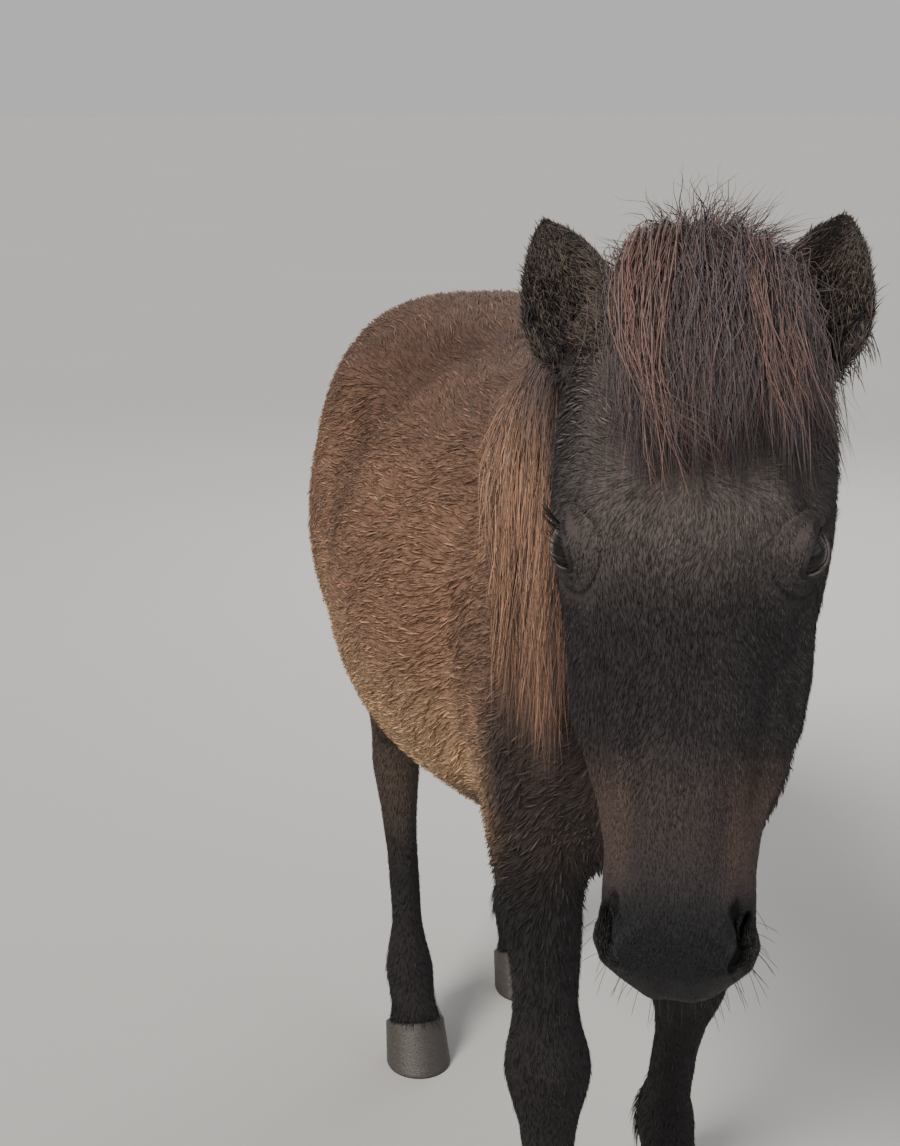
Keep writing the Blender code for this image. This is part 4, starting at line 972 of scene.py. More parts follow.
def coat_lie(points, normals):
    """The unit direction along the skin in which the hair points at each place."""
    _, head, legs, trunk = shares(points)
    x, y, _ = points.T
    back = smoothstep(-0.9, 0.2, normals[:, 2])
    steep = 0.30 + 0.75 * smoothstep(0.25, 0.46, y) + 0.55 * smoothstep(-0.15, -0.42, y)
    fall = steep * (1 - smoothstep(0.5, 0.95, normals[:, 2]))
    trunk_way = np.stack([0 * x, 0.85 + 0.3 * (1 - back), -fall], 1)
    leg_way = np.tile([0.0, 0.12, -1.0], (len(points), 1))
    down, _, left = head_places(points)
    from_whorl = (down - WHORL_DOWN)[:, None] * DOWN + left[:, None] * LEFT
    below = smoothstep(-0.010, 0.050, down - WHORL_DOWN)[:, None]
    cheek = smoothstep(0.045, 0.085, np.abs(left))[:, None]
    face_way = unit(from_whorl) * (1 - below) + below * unit(DOWN + 2.0 * left[:, None] * LEFT)
    face_way = face_way * (1 - 0.6 * cheek) + cheek * (0.35 * DOWN - 0.55 * OUT)
    way = trunk[:, None] * trunk_way + legs[:, None] * leg_way + head[:, None] * face_way
    for sign in (-1, 1):
        way += ear_share(points, sign)[:, None] * ear_axis(sign)[1]
    way = unit(way - (way * normals).sum(1, keepdims=True) * normals)
    turn = (0.22 * waves(points, 0.11, 1) + 0.12 * waves(points, 0.035, 2))[:, None]
    return way * np.cos(turn) + np.cross(normals, way) * np.sin(turn)


skin.data.calc_loop_triangles()
skin_points, skin_normals = mesh_points(skin.data), mesh_normals(skin.data)
skin_faces = np.empty(len(skin.data.loop_triangles) * 3, np.int32)
skin.data.loop_triangles.foreach_get("vertices", skin_faces)
skin_faces = skin_faces.reshape(-1, 3)
corner_points = skin_points[skin_faces]
first_edges = corner_points[:, 1] - corner_points[:, 0]
last_edges = corner_points[:, 2] - corner_points[:, 0]
face_areas = np.linalg.norm(np.cross(first_edges, last_edges), axis=1) / 2
face_middles = corner_points.mean(1)
face_shares = shares(face_middles)
for part, share in zip(("ears", "head", "legs", "trunk"), face_shares):
    print(part, "covers", round(float((face_areas * share).sum()), 3), "square metres")

# %% [markdown]
# ## The map that colours are baked to
# A tuft's colour is baked to its patch, so patches should spread over the whole square the way
# the roots spread over the body. Each part is unwrapped round its own middle line: the angle
# round the line gives one coordinate and the distance along it the other.

# %% Unwrapping


def spread_out(values):
    """Values stretched to run from 0 to 1."""
    return (values - values.min()) / (np.ptp(values) + 1e-9)


def round_trunk(points):
    """Angle round a line through the barrel, and distance along it."""
    angle = np.arctan2(points[:, 0], points[:, 2] - 0.68)
    return np.column_stack([angle / (2 * np.pi) + 0.5, spread_out(points[:, 1])])


def round_head(points):
    """Angle round a line through the head, and distance down it."""
    down, out, left = head_places(points)
    return np.column_stack([np.arctan2(left, -(out + 0.06)) / (2 * np.pi) + 0.5, spread_out(down)])


def round_legs(points):
    """One strip for each leg: angle round it, and height."""
    strip = 2.0 * (points[:, 1] > 0.05) + (points[:, 0] > 0)
    middle_y = np.where(points[:, 1] > 0.05, 0.33, np.where(points[:, 0] > 0, -0.20, -0.29))
    middle_x = np.where(points[:, 0] > 0, 0.095, -0.085)
    angle = np.arctan2(points[:, 0] - middle_x, middle_y - points[:, 1]) / (2 * np.pi) + 0.5
    return np.column_stack([(strip + 0.98 * angle) / 4, spread_out(points[:, 2])])


def round_ears(points):
    """One strip for each ear: angle round its line, and height."""
    sign = np.where((points - POLL) @ LEFT > 0, 1, -1)
    result = np.zeros((len(points), 2))
    for side in (-1, 1):
        root, rise, face = ear_axis(side)
        away = points - root - 0.01 * face
        angle = np.arctan2(away @ np.cross(face, rise), away @ face) / (2 * np.pi) + 0.5
        height = np.clip(away @ rise / 0.12 + 0.1, 0, 1)
        rows = np.column_stack([((side > 0) + 0.98 * angle) / 2, height])
        result = np.where((sign == side)[:, None], rows, result)
    return result


print("unwraps: trunk, head, legs, ears")

# %% [markdown]
# ## Tufts
# Short hair sticks together in small tufts that overlap like shingles. Each tuft starts just
# under the skin, leaves it at a low angle and bends back to lie along the body. Roots are
# scattered evenly by area; size, tone and direction vary a little from tuft to tuft.

# %% Tufts


def scatter(chance, count, draw):
    """Places and normals at random on the skin, as many on each triangle as its chance asks."""
    total = np.cumsum(chance * face_areas)
    at = (np.arange(count) + draw.uniform(0, 1, count)) / count * total[-1]
    chosen = np.minimum(np.searchsorted(total, at), len(total) - 1)
    first, second = draw.uniform(0, 1, (2, count))
    over = first + second > 1
    first, second = np.where(over, 1 - first, first), np.where(over, 1 - second, second)
    weights = np.column_stack([1 - first - second, first, second])[..., None]
    corners = skin_faces[chosen]
    return (skin_points[corners] * weights).sum(1), unit((skin_normals[corners] * weights).sum(1))


def tufts(name, places, normals, length, width, rise, unwrap, finish, slot, seed, stir=0.16, stations=2):
    """Low tufts: the path is root + lie * L * t + normal * L * rise * t * (1.7 - t)."""
    draw = np.random.default_rng(seed)
    count = len(places)
    way = coat_lie(places, normals)
    turn = draw.normal(0, stir, count)[:, None]
    way = way * np.cos(turn) + np.cross(normals, way) * np.sin(turn)
    length = length * draw.uniform(0.70, 1.25, count)
    rise = rise * draw.uniform(0.6, 1.4, count)
    t = np.linspace(0, 1, stations)
    reach = (length[:, None] * t)[..., None]
    lift = (length[:, None] * rise[:, None] * t * (1.7 - t))[..., None]
    roots = places[:, None] - ROOT_DEPTH * normals[:, None]
    paths = roots + reach * way[:, None] + lift * normals[:, None]
    wide = (width * draw.uniform(0.75, 1.25, count))[:, None]
    wide = wide * np.interp(t, [0, 0.5, 1], [0.85, 1.0, 0.0])
    clump = 0.5 + 0.16 * waves(places, 0.030, seed + 50) + draw.normal(0, 0.22, count)
    values = {"tone": np.clip(clump, 0, 1)}
    outward = np.broadcast_to(normals[:, None], paths.shape)
    return strands(name, paths, outward, wide, 0.30 * wide, unwrap(places), finish, values)


def part_tufts(name, share, count, length, width, rise, unwrap, slot, seed, **more):
    """Scatters tufts over a part. length and width are numbers or functions of place and normal."""
    places, normals = scatter(share, count, np.random.default_rng(seed + 100))
    long = length(places, normals) if callable(length) else np.full(count, length)
    wide = width(places, normals) if callable(width) else np.full(count, width)
    tufts(name, places, normals, long, wide, rise, unwrap, coat_finish, slot, seed, **more)


coat_finish = hide_finish("coat", 1.25, attributes=True)

# %% [markdown]
# ## Trunk and legs
# Most of the trunk is covered by fine straight tufts. Fewer, longer and bent ones over them
# break the outline. On the legs the hair is short, apart from the feather: the long hair behind
# the fetlocks and round the coronets.

# %% Trunk and legs


def feather(places, normals):
    """1 behind the fetlocks and 0 elsewhere."""
    behind = smoothstep(0.0, 0.6, normals[:, 1])
    return behind * smoothstep(0.17, 0.12, places[:, 2]) * smoothstep(0.035, 0.06, places[:, 2])


def trunk_length(places, normals):
    """A little longer under the belly."""
    return 0.0155 + 0.004 * smoothstep(0.60, 0.48, places[:, 2])


def leg_length(places, normals):
    """Shortest on the cannons, longer on the forearms and over the coronets."""
    height = places[:, 2]
    return 0.0085 + 0.004 * smoothstep(0.30, 0.46, height) + 0.009 * smoothstep(0.085, 0.060, height)


def feather_length(places, normals):
    """Longest behind the fetlocks."""
    return 0.012 + 0.024 * feather(places, normals)


part_tufts("trunk_coat", face_shares[3], 72_000, trunk_length, 0.00085, 0.25, round_trunk, "body_coat", 1)
part_tufts("trunk_locks", face_shares[3], 11_000, 0.0205, 0.0009, 0.20, round_trunk, "body_coat", 2,
           stations=3)
part_tufts("leg_coat", face_shares[2], 44_000, leg_length, 0.00062, 0.24, round_legs, "leg_coat", 3)
behind_fetlocks = face_shares[2] * (0.04 + feather(face_middles, skin_normals[skin_faces[:, 0]]))
part_tufts("leg_feather", behind_fetlocks, 3_500, feather_length, 0.0009, 0.16, round_legs, "leg_coat", 4,
           stations=3)

# %% [markdown]
# ## Face and ears
# The face has the shortest hair, down to a few millimetres at the lips, where bare skin shows.
# Under the jaw it is longer. An ear is thick with hair: short on its back, longer along its
# edges, and inside the cup long pale hairs cross from both edges and keep out the flies.

# %% Face and ears
EAR_HAIR = (0.150, 0.118, 0.096)


def near_eye(points):
    """1 where the lids and the eyeballs are bare, and 0 outside."""
    result = np.zeros(len(points))
    for sign in (-1, 1):
        near = np.flatnonzero(np.linalg.norm(points - gaze(sign)[0], axis=1) < SOCKET_REACH)
        result[near] = smoothstep(0.24, 0.18, lid_spread(points[near], sign)[0])
    return result


def face_length(places, normals):
    """Longest at the crown and under the jaw, shortest round the eyes and on the muzzle."""
    down, out, _ = head_places(places)
    jaw = smoothstep(-0.10, -0.13, out) * smoothstep(0.30, 0.20, down)
    crown = smoothstep(0.10, 0.02, down)
    long = 0.0078 - 0.0042 * smoothstep(0.22, 0.37, down) + 0.006 * jaw + 0.004 * crown
    return long * (0.70 + 0.30 * smoothstep(0.024, 0.042, eye_distance(places)))


def face_width(places, normals):
    """Finer towards the muzzle."""
    return 0.00058 - 0.00018 * smoothstep(0.2, 0.38, head_places(places)[0])


def ear_length(places, normals):
    """Shorter near the tips, so that the ears keep their outline."""
    heights = [(places - ear_axis(sign)[0]) @ ear_axis(sign)[1] for sign in (-1, 1)]
    return 0.0068 * (1 - 0.5 * smoothstep(0.070, 0.098, np.max(heights, axis=0)))


down_face = head_places(face_middles)[0]
bald = smoothstep(0.400, 0.430, down_face) * 0.6
around_eyes = 1 - near_eye(face_middles)
hairy = face_shares[1] * around_eyes * (1 - bald) * (1 + 0.7 * smoothstep(0.2, 0.36, down_face))
part_tufts("face_coat", hairy, 60_000, face_length, face_width, 0.26, round_head, "face_coat", 5, stir=0.20)
crown = face_shares[1] * smoothstep(0.11, 0.03, down_face) * around_eyes
part_tufts("crown_coat", crown, 3_000, 0.0135, 0.0007, 0.22, round_head, "face_coat", 6,
           stir=0.25, stations=3)
part_tufts("ear_coat", face_shares[0], 18_000, ear_length, 0.0006, 0.28, round_ears, "face_coat", 7,
           stir=0.28)

ear_finish = Finish("ear_hair", Roughness=0.7)
pale = ear_finish.mix((0.060, 0.046, 0.042), EAR_HAIR, ear_finish.value("tone") * ear_finish.value("along"))
ear_finish.feed(Base_Color=pale)


def inside_ear(sign, count, draw):
    """Roots on the inner wall of an ear, and the curved hairs that cross its cup."""
    root, rise, face = ear_axis(sign)
    height = (skin_points - root) @ rise
    open_side = (skin_normals @ face > 0.1) & (height > -0.002) & (ear_share(skin_points, sign) > 0.1)
    chance = open_side[skin_faces].all(1).astype(float)
    places, _ = scatter(chance, count, draw)
    inward = np.cross(face, rise)
    side = (places - root) @ inward
    t = stations_along(4)
    up = (places - root) @ rise
    long = (draw.uniform(0.010, 0.022, count) * (1 - 0.65 * smoothstep(0.035, 0.080, up)))[:, None, None]
    across = (side / 0.035)[:, None] * 0.5 * inward
    way = unit(0.9 * rise + 0.55 * face - across + draw.normal(0, 0.18, (count, 3)))
    curl = draw.normal(0, 0.22, (count, 1, 3))
    return places[:, None] + long * t * way[:, None] + long * t * t * curl


def ear_beard(sign, count, draw):
    """Longer hairs from the lower edge of an ear's opening, which hang down and outwards."""
    root, rise, face = ear_axis(sign)
    height = (skin_points - root) @ rise
    low = (skin_normals @ face > -0.1) & (height > 0.004) & (height < 0.034)
    low &= ear_share(skin_points, sign) > 0.1
    places, _ = scatter(low[skin_faces].all(1).astype(float), count, draw)
    t = stations_along(4)
    long = draw.uniform(0.009, 0.021, (count, 1, 1))
    way = unit(0.5 * face + 0.35 * sign * LEFT - 0.25 * rise + draw.normal(0, 0.22, (count, 3)))
    return places[:, None] + long * t * way[:, None] - long * 0.55 * t * t * rise


draw = np.random.default_rng(130)
growths = ((inside_ear, 1300), (ear_beard, 260))
paths = np.concatenate([grow(sign, count, draw) for sign in (-1, 1) for grow, count in growths])
tones = {"tone": draw.uniform(0, 1, len(paths))}
single_hairs("ear_hair", paths, 0.00030, round_ears(paths[:, 0]), ear_finish.material, tones, flatness=0.7)

# %% [markdown]
# ## The mane's bed
# Mane hair grows along the crest and falls over the right side of the neck, then hangs free
# below it. The neck is drawn as ovals along a line, so a place on the mane is given by how far
# along the neck it is and how far it has fallen from the crest: a sheet with two coordinates.

# %% The mane's bed
NECK = [
    ((0.000, -0.100, 0.880), (0.000, -0.260, 0.500), 0.112),
    ((0.000, -0.205, 0.926), (0.000, -0.385, 0.560), 0.120),
    ((-0.006, -0.290, 0.962), (0.000, -0.432, 0.655), 0.108),
    ((-0.022, -0.380, 1.000), (-0.008, -0.462, 0.745), 0.090),
    ((-0.041, -0.465, 1.026), (-0.018, -0.492, 0.812), 0.077),
    ((-0.059, -0.545, 1.028), (-0.032, -0.520, 0.860), 0.068),
    ((-0.070, -0.590, 1.005), (-0.046, -0.545, 0.900), 0.045),
]
MANE_LENGTH = 0.42
MANE_PLACES = [0.10, 0.30, 0.45, 0.60, 0.85, 1.0]
MANE_SHARES = [0.28, 0.45, 0.85, 1.0, 1.0, 0.85]
BED_ROWS, BED_COLUMNS = 61, 105
BED_FALLS = np.linspace(-0.06, 0.46, BED_COLUMNS)


def neck_rows():
    """Along the neck: middle, up, side, half width and half height of its section."""
    knots = np.array([[*crest, *under, width] for crest, under, width in NECK])
    middle = (knots[:, :3] + knots[:, 3:6]) / 2
    line = smooth_line(np.column_stack([middle, knots[:, 3:]]), BED_ROWS)
    up = line[:, :3] - line[:, 3:6]
    height = np.linalg.norm(up, axis=1)
    up = unit(up)
    side = unit(np.cross(np.gradient(line[:, :3], axis=0), up))
    return line[:, :3], up, side * np.sign(side[:, :1]), line[:, 6], height


def mane_bed():
    """Places and outward directions of the sheet, one row of falls for each neck section."""
    middle, up, side, width, height = neck_rows()
    angle = np.radians(np.linspace(40, 178, 60))
    across = np.sign(np.cos(angle)) * np.abs(np.cos(angle)) ** 1.2
    places, outward = np.empty((2, BED_ROWS, BED_COLUMNS, 3))
    for row in range(BED_ROWS):
        sideways = (across * width[row])[:, None] * side[row]
        curve = middle[row] + sideways + (np.sin(angle) * height[row])[:, None] * up[row]
        away = np.cos(angle)[:, None] * side[row] * height[row]
        away = away + np.sin(angle)[:, None] * up[row] * width[row]
        steps = np.concatenate([[0], np.cumsum(np.linalg.norm(np.diff(curve, axis=0), axis=1))])
        steps -= np.interp(90, np.degrees(angle), steps)
        for axis in range(3):
            places[row, :, axis] = np.interp(BED_FALLS, steps, curve[:, axis])
            outward[row, :, axis] = np.interp(BED_FALLS, steps, unit(away)[:, axis])
        over = np.maximum(BED_FALLS - steps[-1], 0)
        places[row] += over[:, None] * np.array([-0.05, -0.04, -1.0])
    return places, unit(outward)


BED_PLACES, BED_OUTWARD = mane_bed()


def on_bed(table, along, fall):
    """The bed's table read between its rows and columns by weighting the four nearest entries."""
    row = np.clip(along, 0, 0.9999) * (BED_ROWS - 1)
    share = (fall - BED_FALLS[0]) / (BED_FALLS[-1] - BED_FALLS[0])
    column = np.clip(share, 0, 0.9999) * (BED_COLUMNS - 1)
    i, j = row.astype(int), column.astype(int)
    u, v = (row - i)[..., None], (column - j)[..., None]
    near = table[i, j] * (1 - v) + table[i, j + 1] * v
    far = table[i + 1, j] * (1 - v) + table[i + 1, j + 1] * v
    return near * (1 - u) + far * u


def mane_length(along):
    """How long the mane is from the withers (0), where it is short, to the poll (1)."""
    return MANE_LENGTH * np.interp(along, MANE_PLACES, MANE_SHARES)


print("the bed reaches down to", round(float(BED_PLACES[..., 2].min()), 3), "m")

# %% [markdown]
# ## Long hair material
# The mane is black-brown at the roots. Sun and rain have bleached its outer hairs to a rusty
# orange in their middle length, and the tips are dark again. Each strand carries a `warm` value
# that says how bleached it is, and `along` runs from 0 at its root to 1 at its tip.

# %% Long hair material
DARK_HAIR = (0.042, 0.033, 0.034)
BROWN_HAIR = (0.125, 0.080, 0.070)
RUSTY_HAIR = (0.470, 0.265, 0.165)
GREY_HAIR = (0.135, 0.115, 0.118)
RED_HAIR = (0.215, 0.120, 0.102)
CHESTNUT_HAIR = (0.200, 0.110, 0.070)


def hair_finish(name, base, bleached, sunned):
    """Hair from dark to base by each strand's tone, and bleached where sunned says, as warm allows."""
    finish = Finish(name, Roughness=0.55, Specular_IOR_Level=0.30)
    tone, along, warm = (finish.value(label) for label in ("tone", "along", "warm"))
    spot = finish.place()
    colour = finish.mix(DARK_HAIR, base, tone)
    colour = finish.mix(colour, bleached, sunned(finish.along(spot, (0, 0, 1)), along) * warm)
    fibre = finish.node("TexNoise", Vector=spot, Scale=240.0, Detail=1.0)
    return finish.feed(Base_Color=finish.brighten(colour, 0.65 + 0.70 * fibre))


mane_finish = hair_finish(
    "mane_hair", BROWN_HAIR, RUSTY_HAIR, lambda z, along: z.step(0.945, 0.850) * z.step(0.630, 0.715)
)
forelock_finish = hair_finish("forelock_hair", GREY_HAIR, RED_HAIR, lambda z, along: along.step(0.05, 0.45))
tail_finish = hair_finish("tail_hair", BROWN_HAIR, CHESTNUT_HAIR, lambda z, along: along.step(0.30, 0.85))
print("hair materials:", mane_finish.name, forelock_finish.name, tail_finish.name)

# %% [markdown]
# ## Mane
# Hair gathers in locks: strands that start apart share one tip. Every strand therefore leans
# towards its lock's own line more and more as it falls. Wide strands give the mass, and fine
# ones on top break its edge.

# %% Mane


def mane_paths(count, stations, locks, seed, low_lift, high_lift, stray):
    """Strands over the crest: along = root + (lock - root) * gather - sweep * fall, lifted off
    the bed by a hump, with a slow wave."""
    draw = np.random.default_rng(seed)
    lock = draw.integers(0, locks, count)
    centre = (lock + 0.5) / locks + draw.normal(0, 0.25 / locks, locks)[lock]
    root = centre + draw.normal(0, 0.75 / locks, count)
    root, centre = 0.13 + 0.855 * np.clip(root, 0, 1), 0.13 + 0.855 * centre
    t = np.linspace(0, 1, stations)
    length = mane_length(root) * draw.uniform(0.86, 1.03, locks)[lock] * draw.uniform(0.72, 1.02, count)
    start = draw.uniform(-0.026, 0.006, count)
    fall = start[:, None] + length[:, None] * t
    gather = 0.80 * smoothstep(0.05, 0.95, t)
    sweep = 0.10 + draw.normal(0, 0.09, locks)[lock] + draw.normal(0, stray, count)
    swing = draw.uniform(-0.010, 0.010, locks)[lock][:, None]
    wave = swing * np.sin(2.0 * np.pi * t + draw.uniform(0, 6.28, locks)[lock][:, None])
    gathered = root[:, None] + (centre - root)[:, None] * gather
    along = gathered - sweep[:, None] * np.clip(fall, 0, 1) + wave
    lift = draw.uniform(low_lift, high_lift, count)[:, None] * np.sin(np.pi * (0.10 + 0.76 * t)) ** 0.6
    lift += (0.0015 + 0.010 * draw.uniform(0, 1, locks)[lock])[:, None] * smoothstep(0.0, 0.3, t)
    paths = on_bed(BED_PLACES, along, fall) + lift[..., None] * on_bed(BED_OUTWARD, along, fall)
    loose = draw.normal(0, 1, (count, 1, 3)) * (0.006 * t**2)[None, :, None]
    roots = np.column_stack([root, spread_out(start)])
    return paths + loose, on_bed(BED_OUTWARD, along, fall), roots, draw


def taper(stations, root, tip):
    """Widths along a strand: root's share at the start, full at a third, tip's share at the end."""
    return np.interp(np.linspace(0, 1, stations), [0, 0.3, 0.75, 1], [root, 1.0, 0.7, tip])


def frizzed(paths, outward, amount, turns, draw):
    """Paths with a wave across and one outwards: amount * t * sin(2 pi * turns * t + phase)."""
    count, stations, _ = paths.shape
    t = np.linspace(0, 1, stations)[None]
    tangent = unit(np.gradient(paths, axis=1))
    side = unit(np.cross(tangent, outward))
    result = paths
    for way in (side, np.cross(side, tangent)):
        ranges = ((0, 2 * np.pi), (0.6, 1.4), (-1.6, 1.6))
        phase, pitch, size = (draw.uniform(low, high, (count, 1)) for low, high in ranges)
        swing = amount * size * t**0.7 * np.sin(2 * np.pi * turns * pitch * t + phase)
        result = result + swing[..., None] * way
    return result


def long_hair(name, grown, width, finish, node, warm, frizz, turns=1.2):
    """Strands of long hair, their ridges turned at random round the outward direction. grown is
    what the functions of paths return: paths, outward directions, roots and the random draws."""
    paths, outward, roots, draw = grown
    count, stations, _ = paths.shape
    paths = frizzed(paths, outward, frizz, turns, draw)
    twist = draw.normal(0, 0.5, (count, 1, 3))
    wide = (width * draw.uniform(0.6, 1.3, count))[:, None] * taper(stations, 0.6, 0.15)
    values = {"tone": draw.uniform(0, 1, count), "warm": np.clip(draw.uniform(*warm, count), 0, 1)}
    return strands(name, paths, outward + twist, wide, 0.45 * wide, roots, finish, values,
                   (node,))


long_hair("mane_locks", mane_paths(1800, 10, 52, 21, 0.000, 0.014, 0.04),
          0.0010, mane_finish, "mane", (-0.5, 1.1), 0.0036, 1.8)
long_hair("mane_strands", mane_paths(2200, 10, 52, 22, 0.004, 0.020, 0.09),
          0.00042, mane_finish, "mane", (-0.2, 1.2), 0.0065, 2.0)

# %% [markdown]
# ## The tuft at the poll
# Behind the ears the mane is too short and too crowded to lie down, so it stands up and falls
# to both sides. These strands start round the poll, rise, and lean outwards the more the
# further they start from the middle.

# %% The tuft at the poll


def poll_tuft(count, tall, seed, fluff):
    """Strands that rise from the crest: root + up * h * (1.5 t - t^2 / 2) + side * lean."""
    draw = np.random.default_rng(seed)
    middle, up, side, _, height = neck_rows()
    at = draw.uniform(0.84, 1.0, count) * (BED_ROWS - 1)
    row = np.minimum(at.astype(int), BED_ROWS - 1)
    lean = draw.uniform(-1, 1, count)
    long = tall * draw.uniform(0.55, 1.1, count) * (1 - 0.35 * lean**2)
    t = stations_along(8)
    base = middle[row] + ((height[row] - 0.006 - 0.018 * lean**2)[:, None]) * up[row]
    base += (0.012 + 0.032 * lean)[:, None] * side[row]
    rise = long[:, None, None] * (1.5 * t - 0.5 * t * t) * up[row][:, None]
    sway = (lean + draw.normal(0, 0.35, count))[:, None, None] * 0.030 * t * t * side[row][:, None]
    curl = draw.normal(0, fluff, (count, 1, 3)) * t * t
    paths = base[:, None] + rise + sway + curl + (0.010 * t - 0.026 * t * t) * np.array([0, 1.0, 0])
    forwards = np.broadcast_to(np.array([0, -1.0, 0]), paths.shape)
    return paths, forwards, np.column_stack([lean / 2 + 0.5, spread_out(at)]), draw


long_hair("poll_tuft", poll_tuft(420, 0.040, 31, 0.006),
          0.0009, forelock_finish, "mane", (-1, 0.6), 0.0030, 1.6)
long_hair("poll_strands", poll_tuft(560, 0.060, 32, 0.007),
          0.00036, forelock_finish, "mane", (-1, 0.9), 0.0040, 1.6)

# %% [markdown]
# ## Forelock
# The forelock is mane that falls forwards between the ears. Its hairs rise from the poll, arch
# over in a fuzzy dome and lie down the forehead, a little swept to the pony's left. Most are
# fine and grey-brown. A few bleached reddish locks cross it from the right to the left. Each
# hair is a cubic curve with two ends and two points that pull it up and forwards.

# %% Forelock


def forehead(down):
    """How far out of the poll the forehead lies, by distance down the face."""
    return np.interp(down, [-0.02, 0.0, 0.03, 0.08, 0.15], [-0.030, 0.004, 0.016, 0.026, 0.030])


def arched(root, pull_up, pull_over, end, stations):
    """Cubic curves: (1-t)^3 A + 3 t (1-t)^2 B + 3 t^2 (1-t) C + t^3 D, in head coordinates."""
    t = stations_along(stations)
    spots = (root, pull_up, pull_over, end)
    root, pull_up, pull_over, end = (np.stack(spot, -1)[:, None] for spot in spots)
    places = (1 - t) ** 3 * root + 3 * t * (1 - t) ** 2 * pull_up
    places = places + 3 * t * t * (1 - t) * pull_over + t**3 * end
    return on_head(*np.moveaxis(places, -1, 0))


def forelock_paths(count, stations, locks, seed, low_loft, high_loft, stray):
    """Hairs in locks: a loft from 0 to 1 says how high and how far forwards each one arches."""
    draw = np.random.default_rng(seed)
    lock = draw.integers(0, locks, count)
    lane = -0.040 + 0.082 * (lock + 0.5) / locks
    side = lane + draw.normal(0, 0.005, count)
    loft = draw.uniform(low_loft, high_loft, count) * (1 - 0.40 * (side / 0.045) ** 2)
    back = draw.uniform(-0.062, -0.016, count)
    root = (np.full(count, 0.004), back, side)
    pull_up = (-0.030 - 0.092 * loft, back + 0.012, side * 1.15 + draw.normal(0, stray, count))
    over_side = side * 1.25 + 0.006 + draw.normal(0, stray, count)
    pull_over = (-0.016 - 0.022 * loft, 0.018 + 0.050 * loft, over_side)
    down = -0.012 + 0.150 * draw.uniform(0.62, 1.0, locks)[lock] * draw.uniform(0.70, 1.04, count)
    end_side = 1.45 * lane + 0.018 + draw.normal(0, 0.008, locks)[lock] + draw.normal(0, stray, count)
    end_out = forehead(down) - 6.5 * end_side**2 + 0.003 + 0.010 * loft + draw.uniform(0, 0.004, count)
    end = (down, end_out, end_side)
    paths = arched(root, pull_up, pull_over, end, stations)
    roots = np.column_stack([spread_out(side), spread_out(back)])
    return paths, np.broadcast_to(OUT, paths.shape), roots, draw


CROSSING = [
    [(0.0, -0.030, -0.028), (-0.050, 0.000, -0.034), (-0.014, 0.034, -0.041), (0.028, 0.040, -0.038),
     (0.062, 0.040, -0.020), (0.090, 0.042, 0.012), (0.114, 0.040, 0.040)],
    [(0.0, -0.030, -0.024), (-0.054, 0.004, -0.030), (-0.012, 0.037, -0.036), (0.034, 0.043, -0.032),
     (0.072, 0.043, -0.012), (0.098, 0.043, 0.016), (0.108, 0.041, 0.030)],
    [(0.0, -0.030, -0.014), (-0.056, 0.004, -0.018), (-0.010, 0.040, -0.022), (0.040, 0.045, -0.022),
     (0.086, 0.043, -0.016), (0.124, 0.041, -0.006), (0.142, 0.038, 0.004)],
    [(0.0, -0.030, 0.026), (-0.046, 0.002, 0.034), (-0.004, 0.034, 0.042), (0.038, 0.036, 0.052),
     (0.078, 0.030, 0.064), (0.104, 0.022, 0.074)],
    [(0.0, -0.034, 0.034), (-0.032, -0.006, 0.044), (0.014, 0.022, 0.056), (0.056, 0.020, 0.068),
     (0.094, 0.008, 0.080)],
]


def crossing_locks(count, stations, seed):
    """Strands round five drawn lines, close together in the middle and fanned out at the tip."""
    draw = np.random.default_rng(seed)
    lines = np.stack([smooth_line(row, stations) for row in CROSSING])
    lane = draw.integers(0, len(CROSSING), count)
    t = np.linspace(0, 1, stations)
    fan = np.interp(t, [0, 0.3, 0.7, 1], [1.0, 0.8, 0.7, 1.7])[None, :, None]
    places = lines[lane] + fan * draw.normal(0, 1, (count, 1, 3)) * (0.0050, 0.0028, 0.0062)
    paths = on_head(*np.moveaxis(places, -1, 0))
    keep = draw.uniform(0.7, 1.0, count)[:, None] * np.linspace(0, stations - 1, stations)[None]
    low = np.minimum(keep.astype(int), stations - 2)
    part = (keep - low)[..., None]
    row = np.arange(count)[:, None]
    paths = paths[row, low] * (1 - part) + paths[row, low + 1] * part
    roots = np.column_stack([spread_out(places[:, 0, 2]), spread_out(places[:, 0, 0])])
    return paths, np.broadcast_to(OUT, paths.shape), roots, draw


long_hair("forelock_locks", forelock_paths(1300, 9, 26, 41, 0.10, 0.80, 0.006),
          0.00080, forelock_finish, "forelock", (-1.4, 0.5), 0.0036, 2.0)
long_hair("forelock_strands", forelock_paths(2100, 10, 34, 42, 0.30, 1.0, 0.012),
          0.00034, forelock_finish, "forelock", (-1.0, 0.6), 0.0085, 2.6)
long_hair("forelock_crossing", crossing_locks(210, 14, 43),
          0.00042, forelock_finish, "forelock", (0.2, 1.0), 0.0042, 2.2)

# %% [markdown]
# ## Tail
# The dock is a short bony stem under the hair. Hair leaves it all round, falls close behind
# the thighs, fills out at half its length and thins to the tip.

# %% Tail
TAIL = [
    (0.500, 0.805, 0.022, 0.022),
    (0.538, 0.797, 0.030, 0.028),
    (0.566, 0.757, 0.040, 0.034),
    (0.578, 0.690, 0.052, 0.042),
    (0.580, 0.600, 0.064, 0.046),
    (0.575, 0.490, 0.068, 0.046),
    (0.568, 0.390, 0.060, 0.040),
    (0.561, 0.310, 0.042, 0.028),
    (0.556, 0.245, 0.012, 0.010),
]
TAIL_ROWS = 121


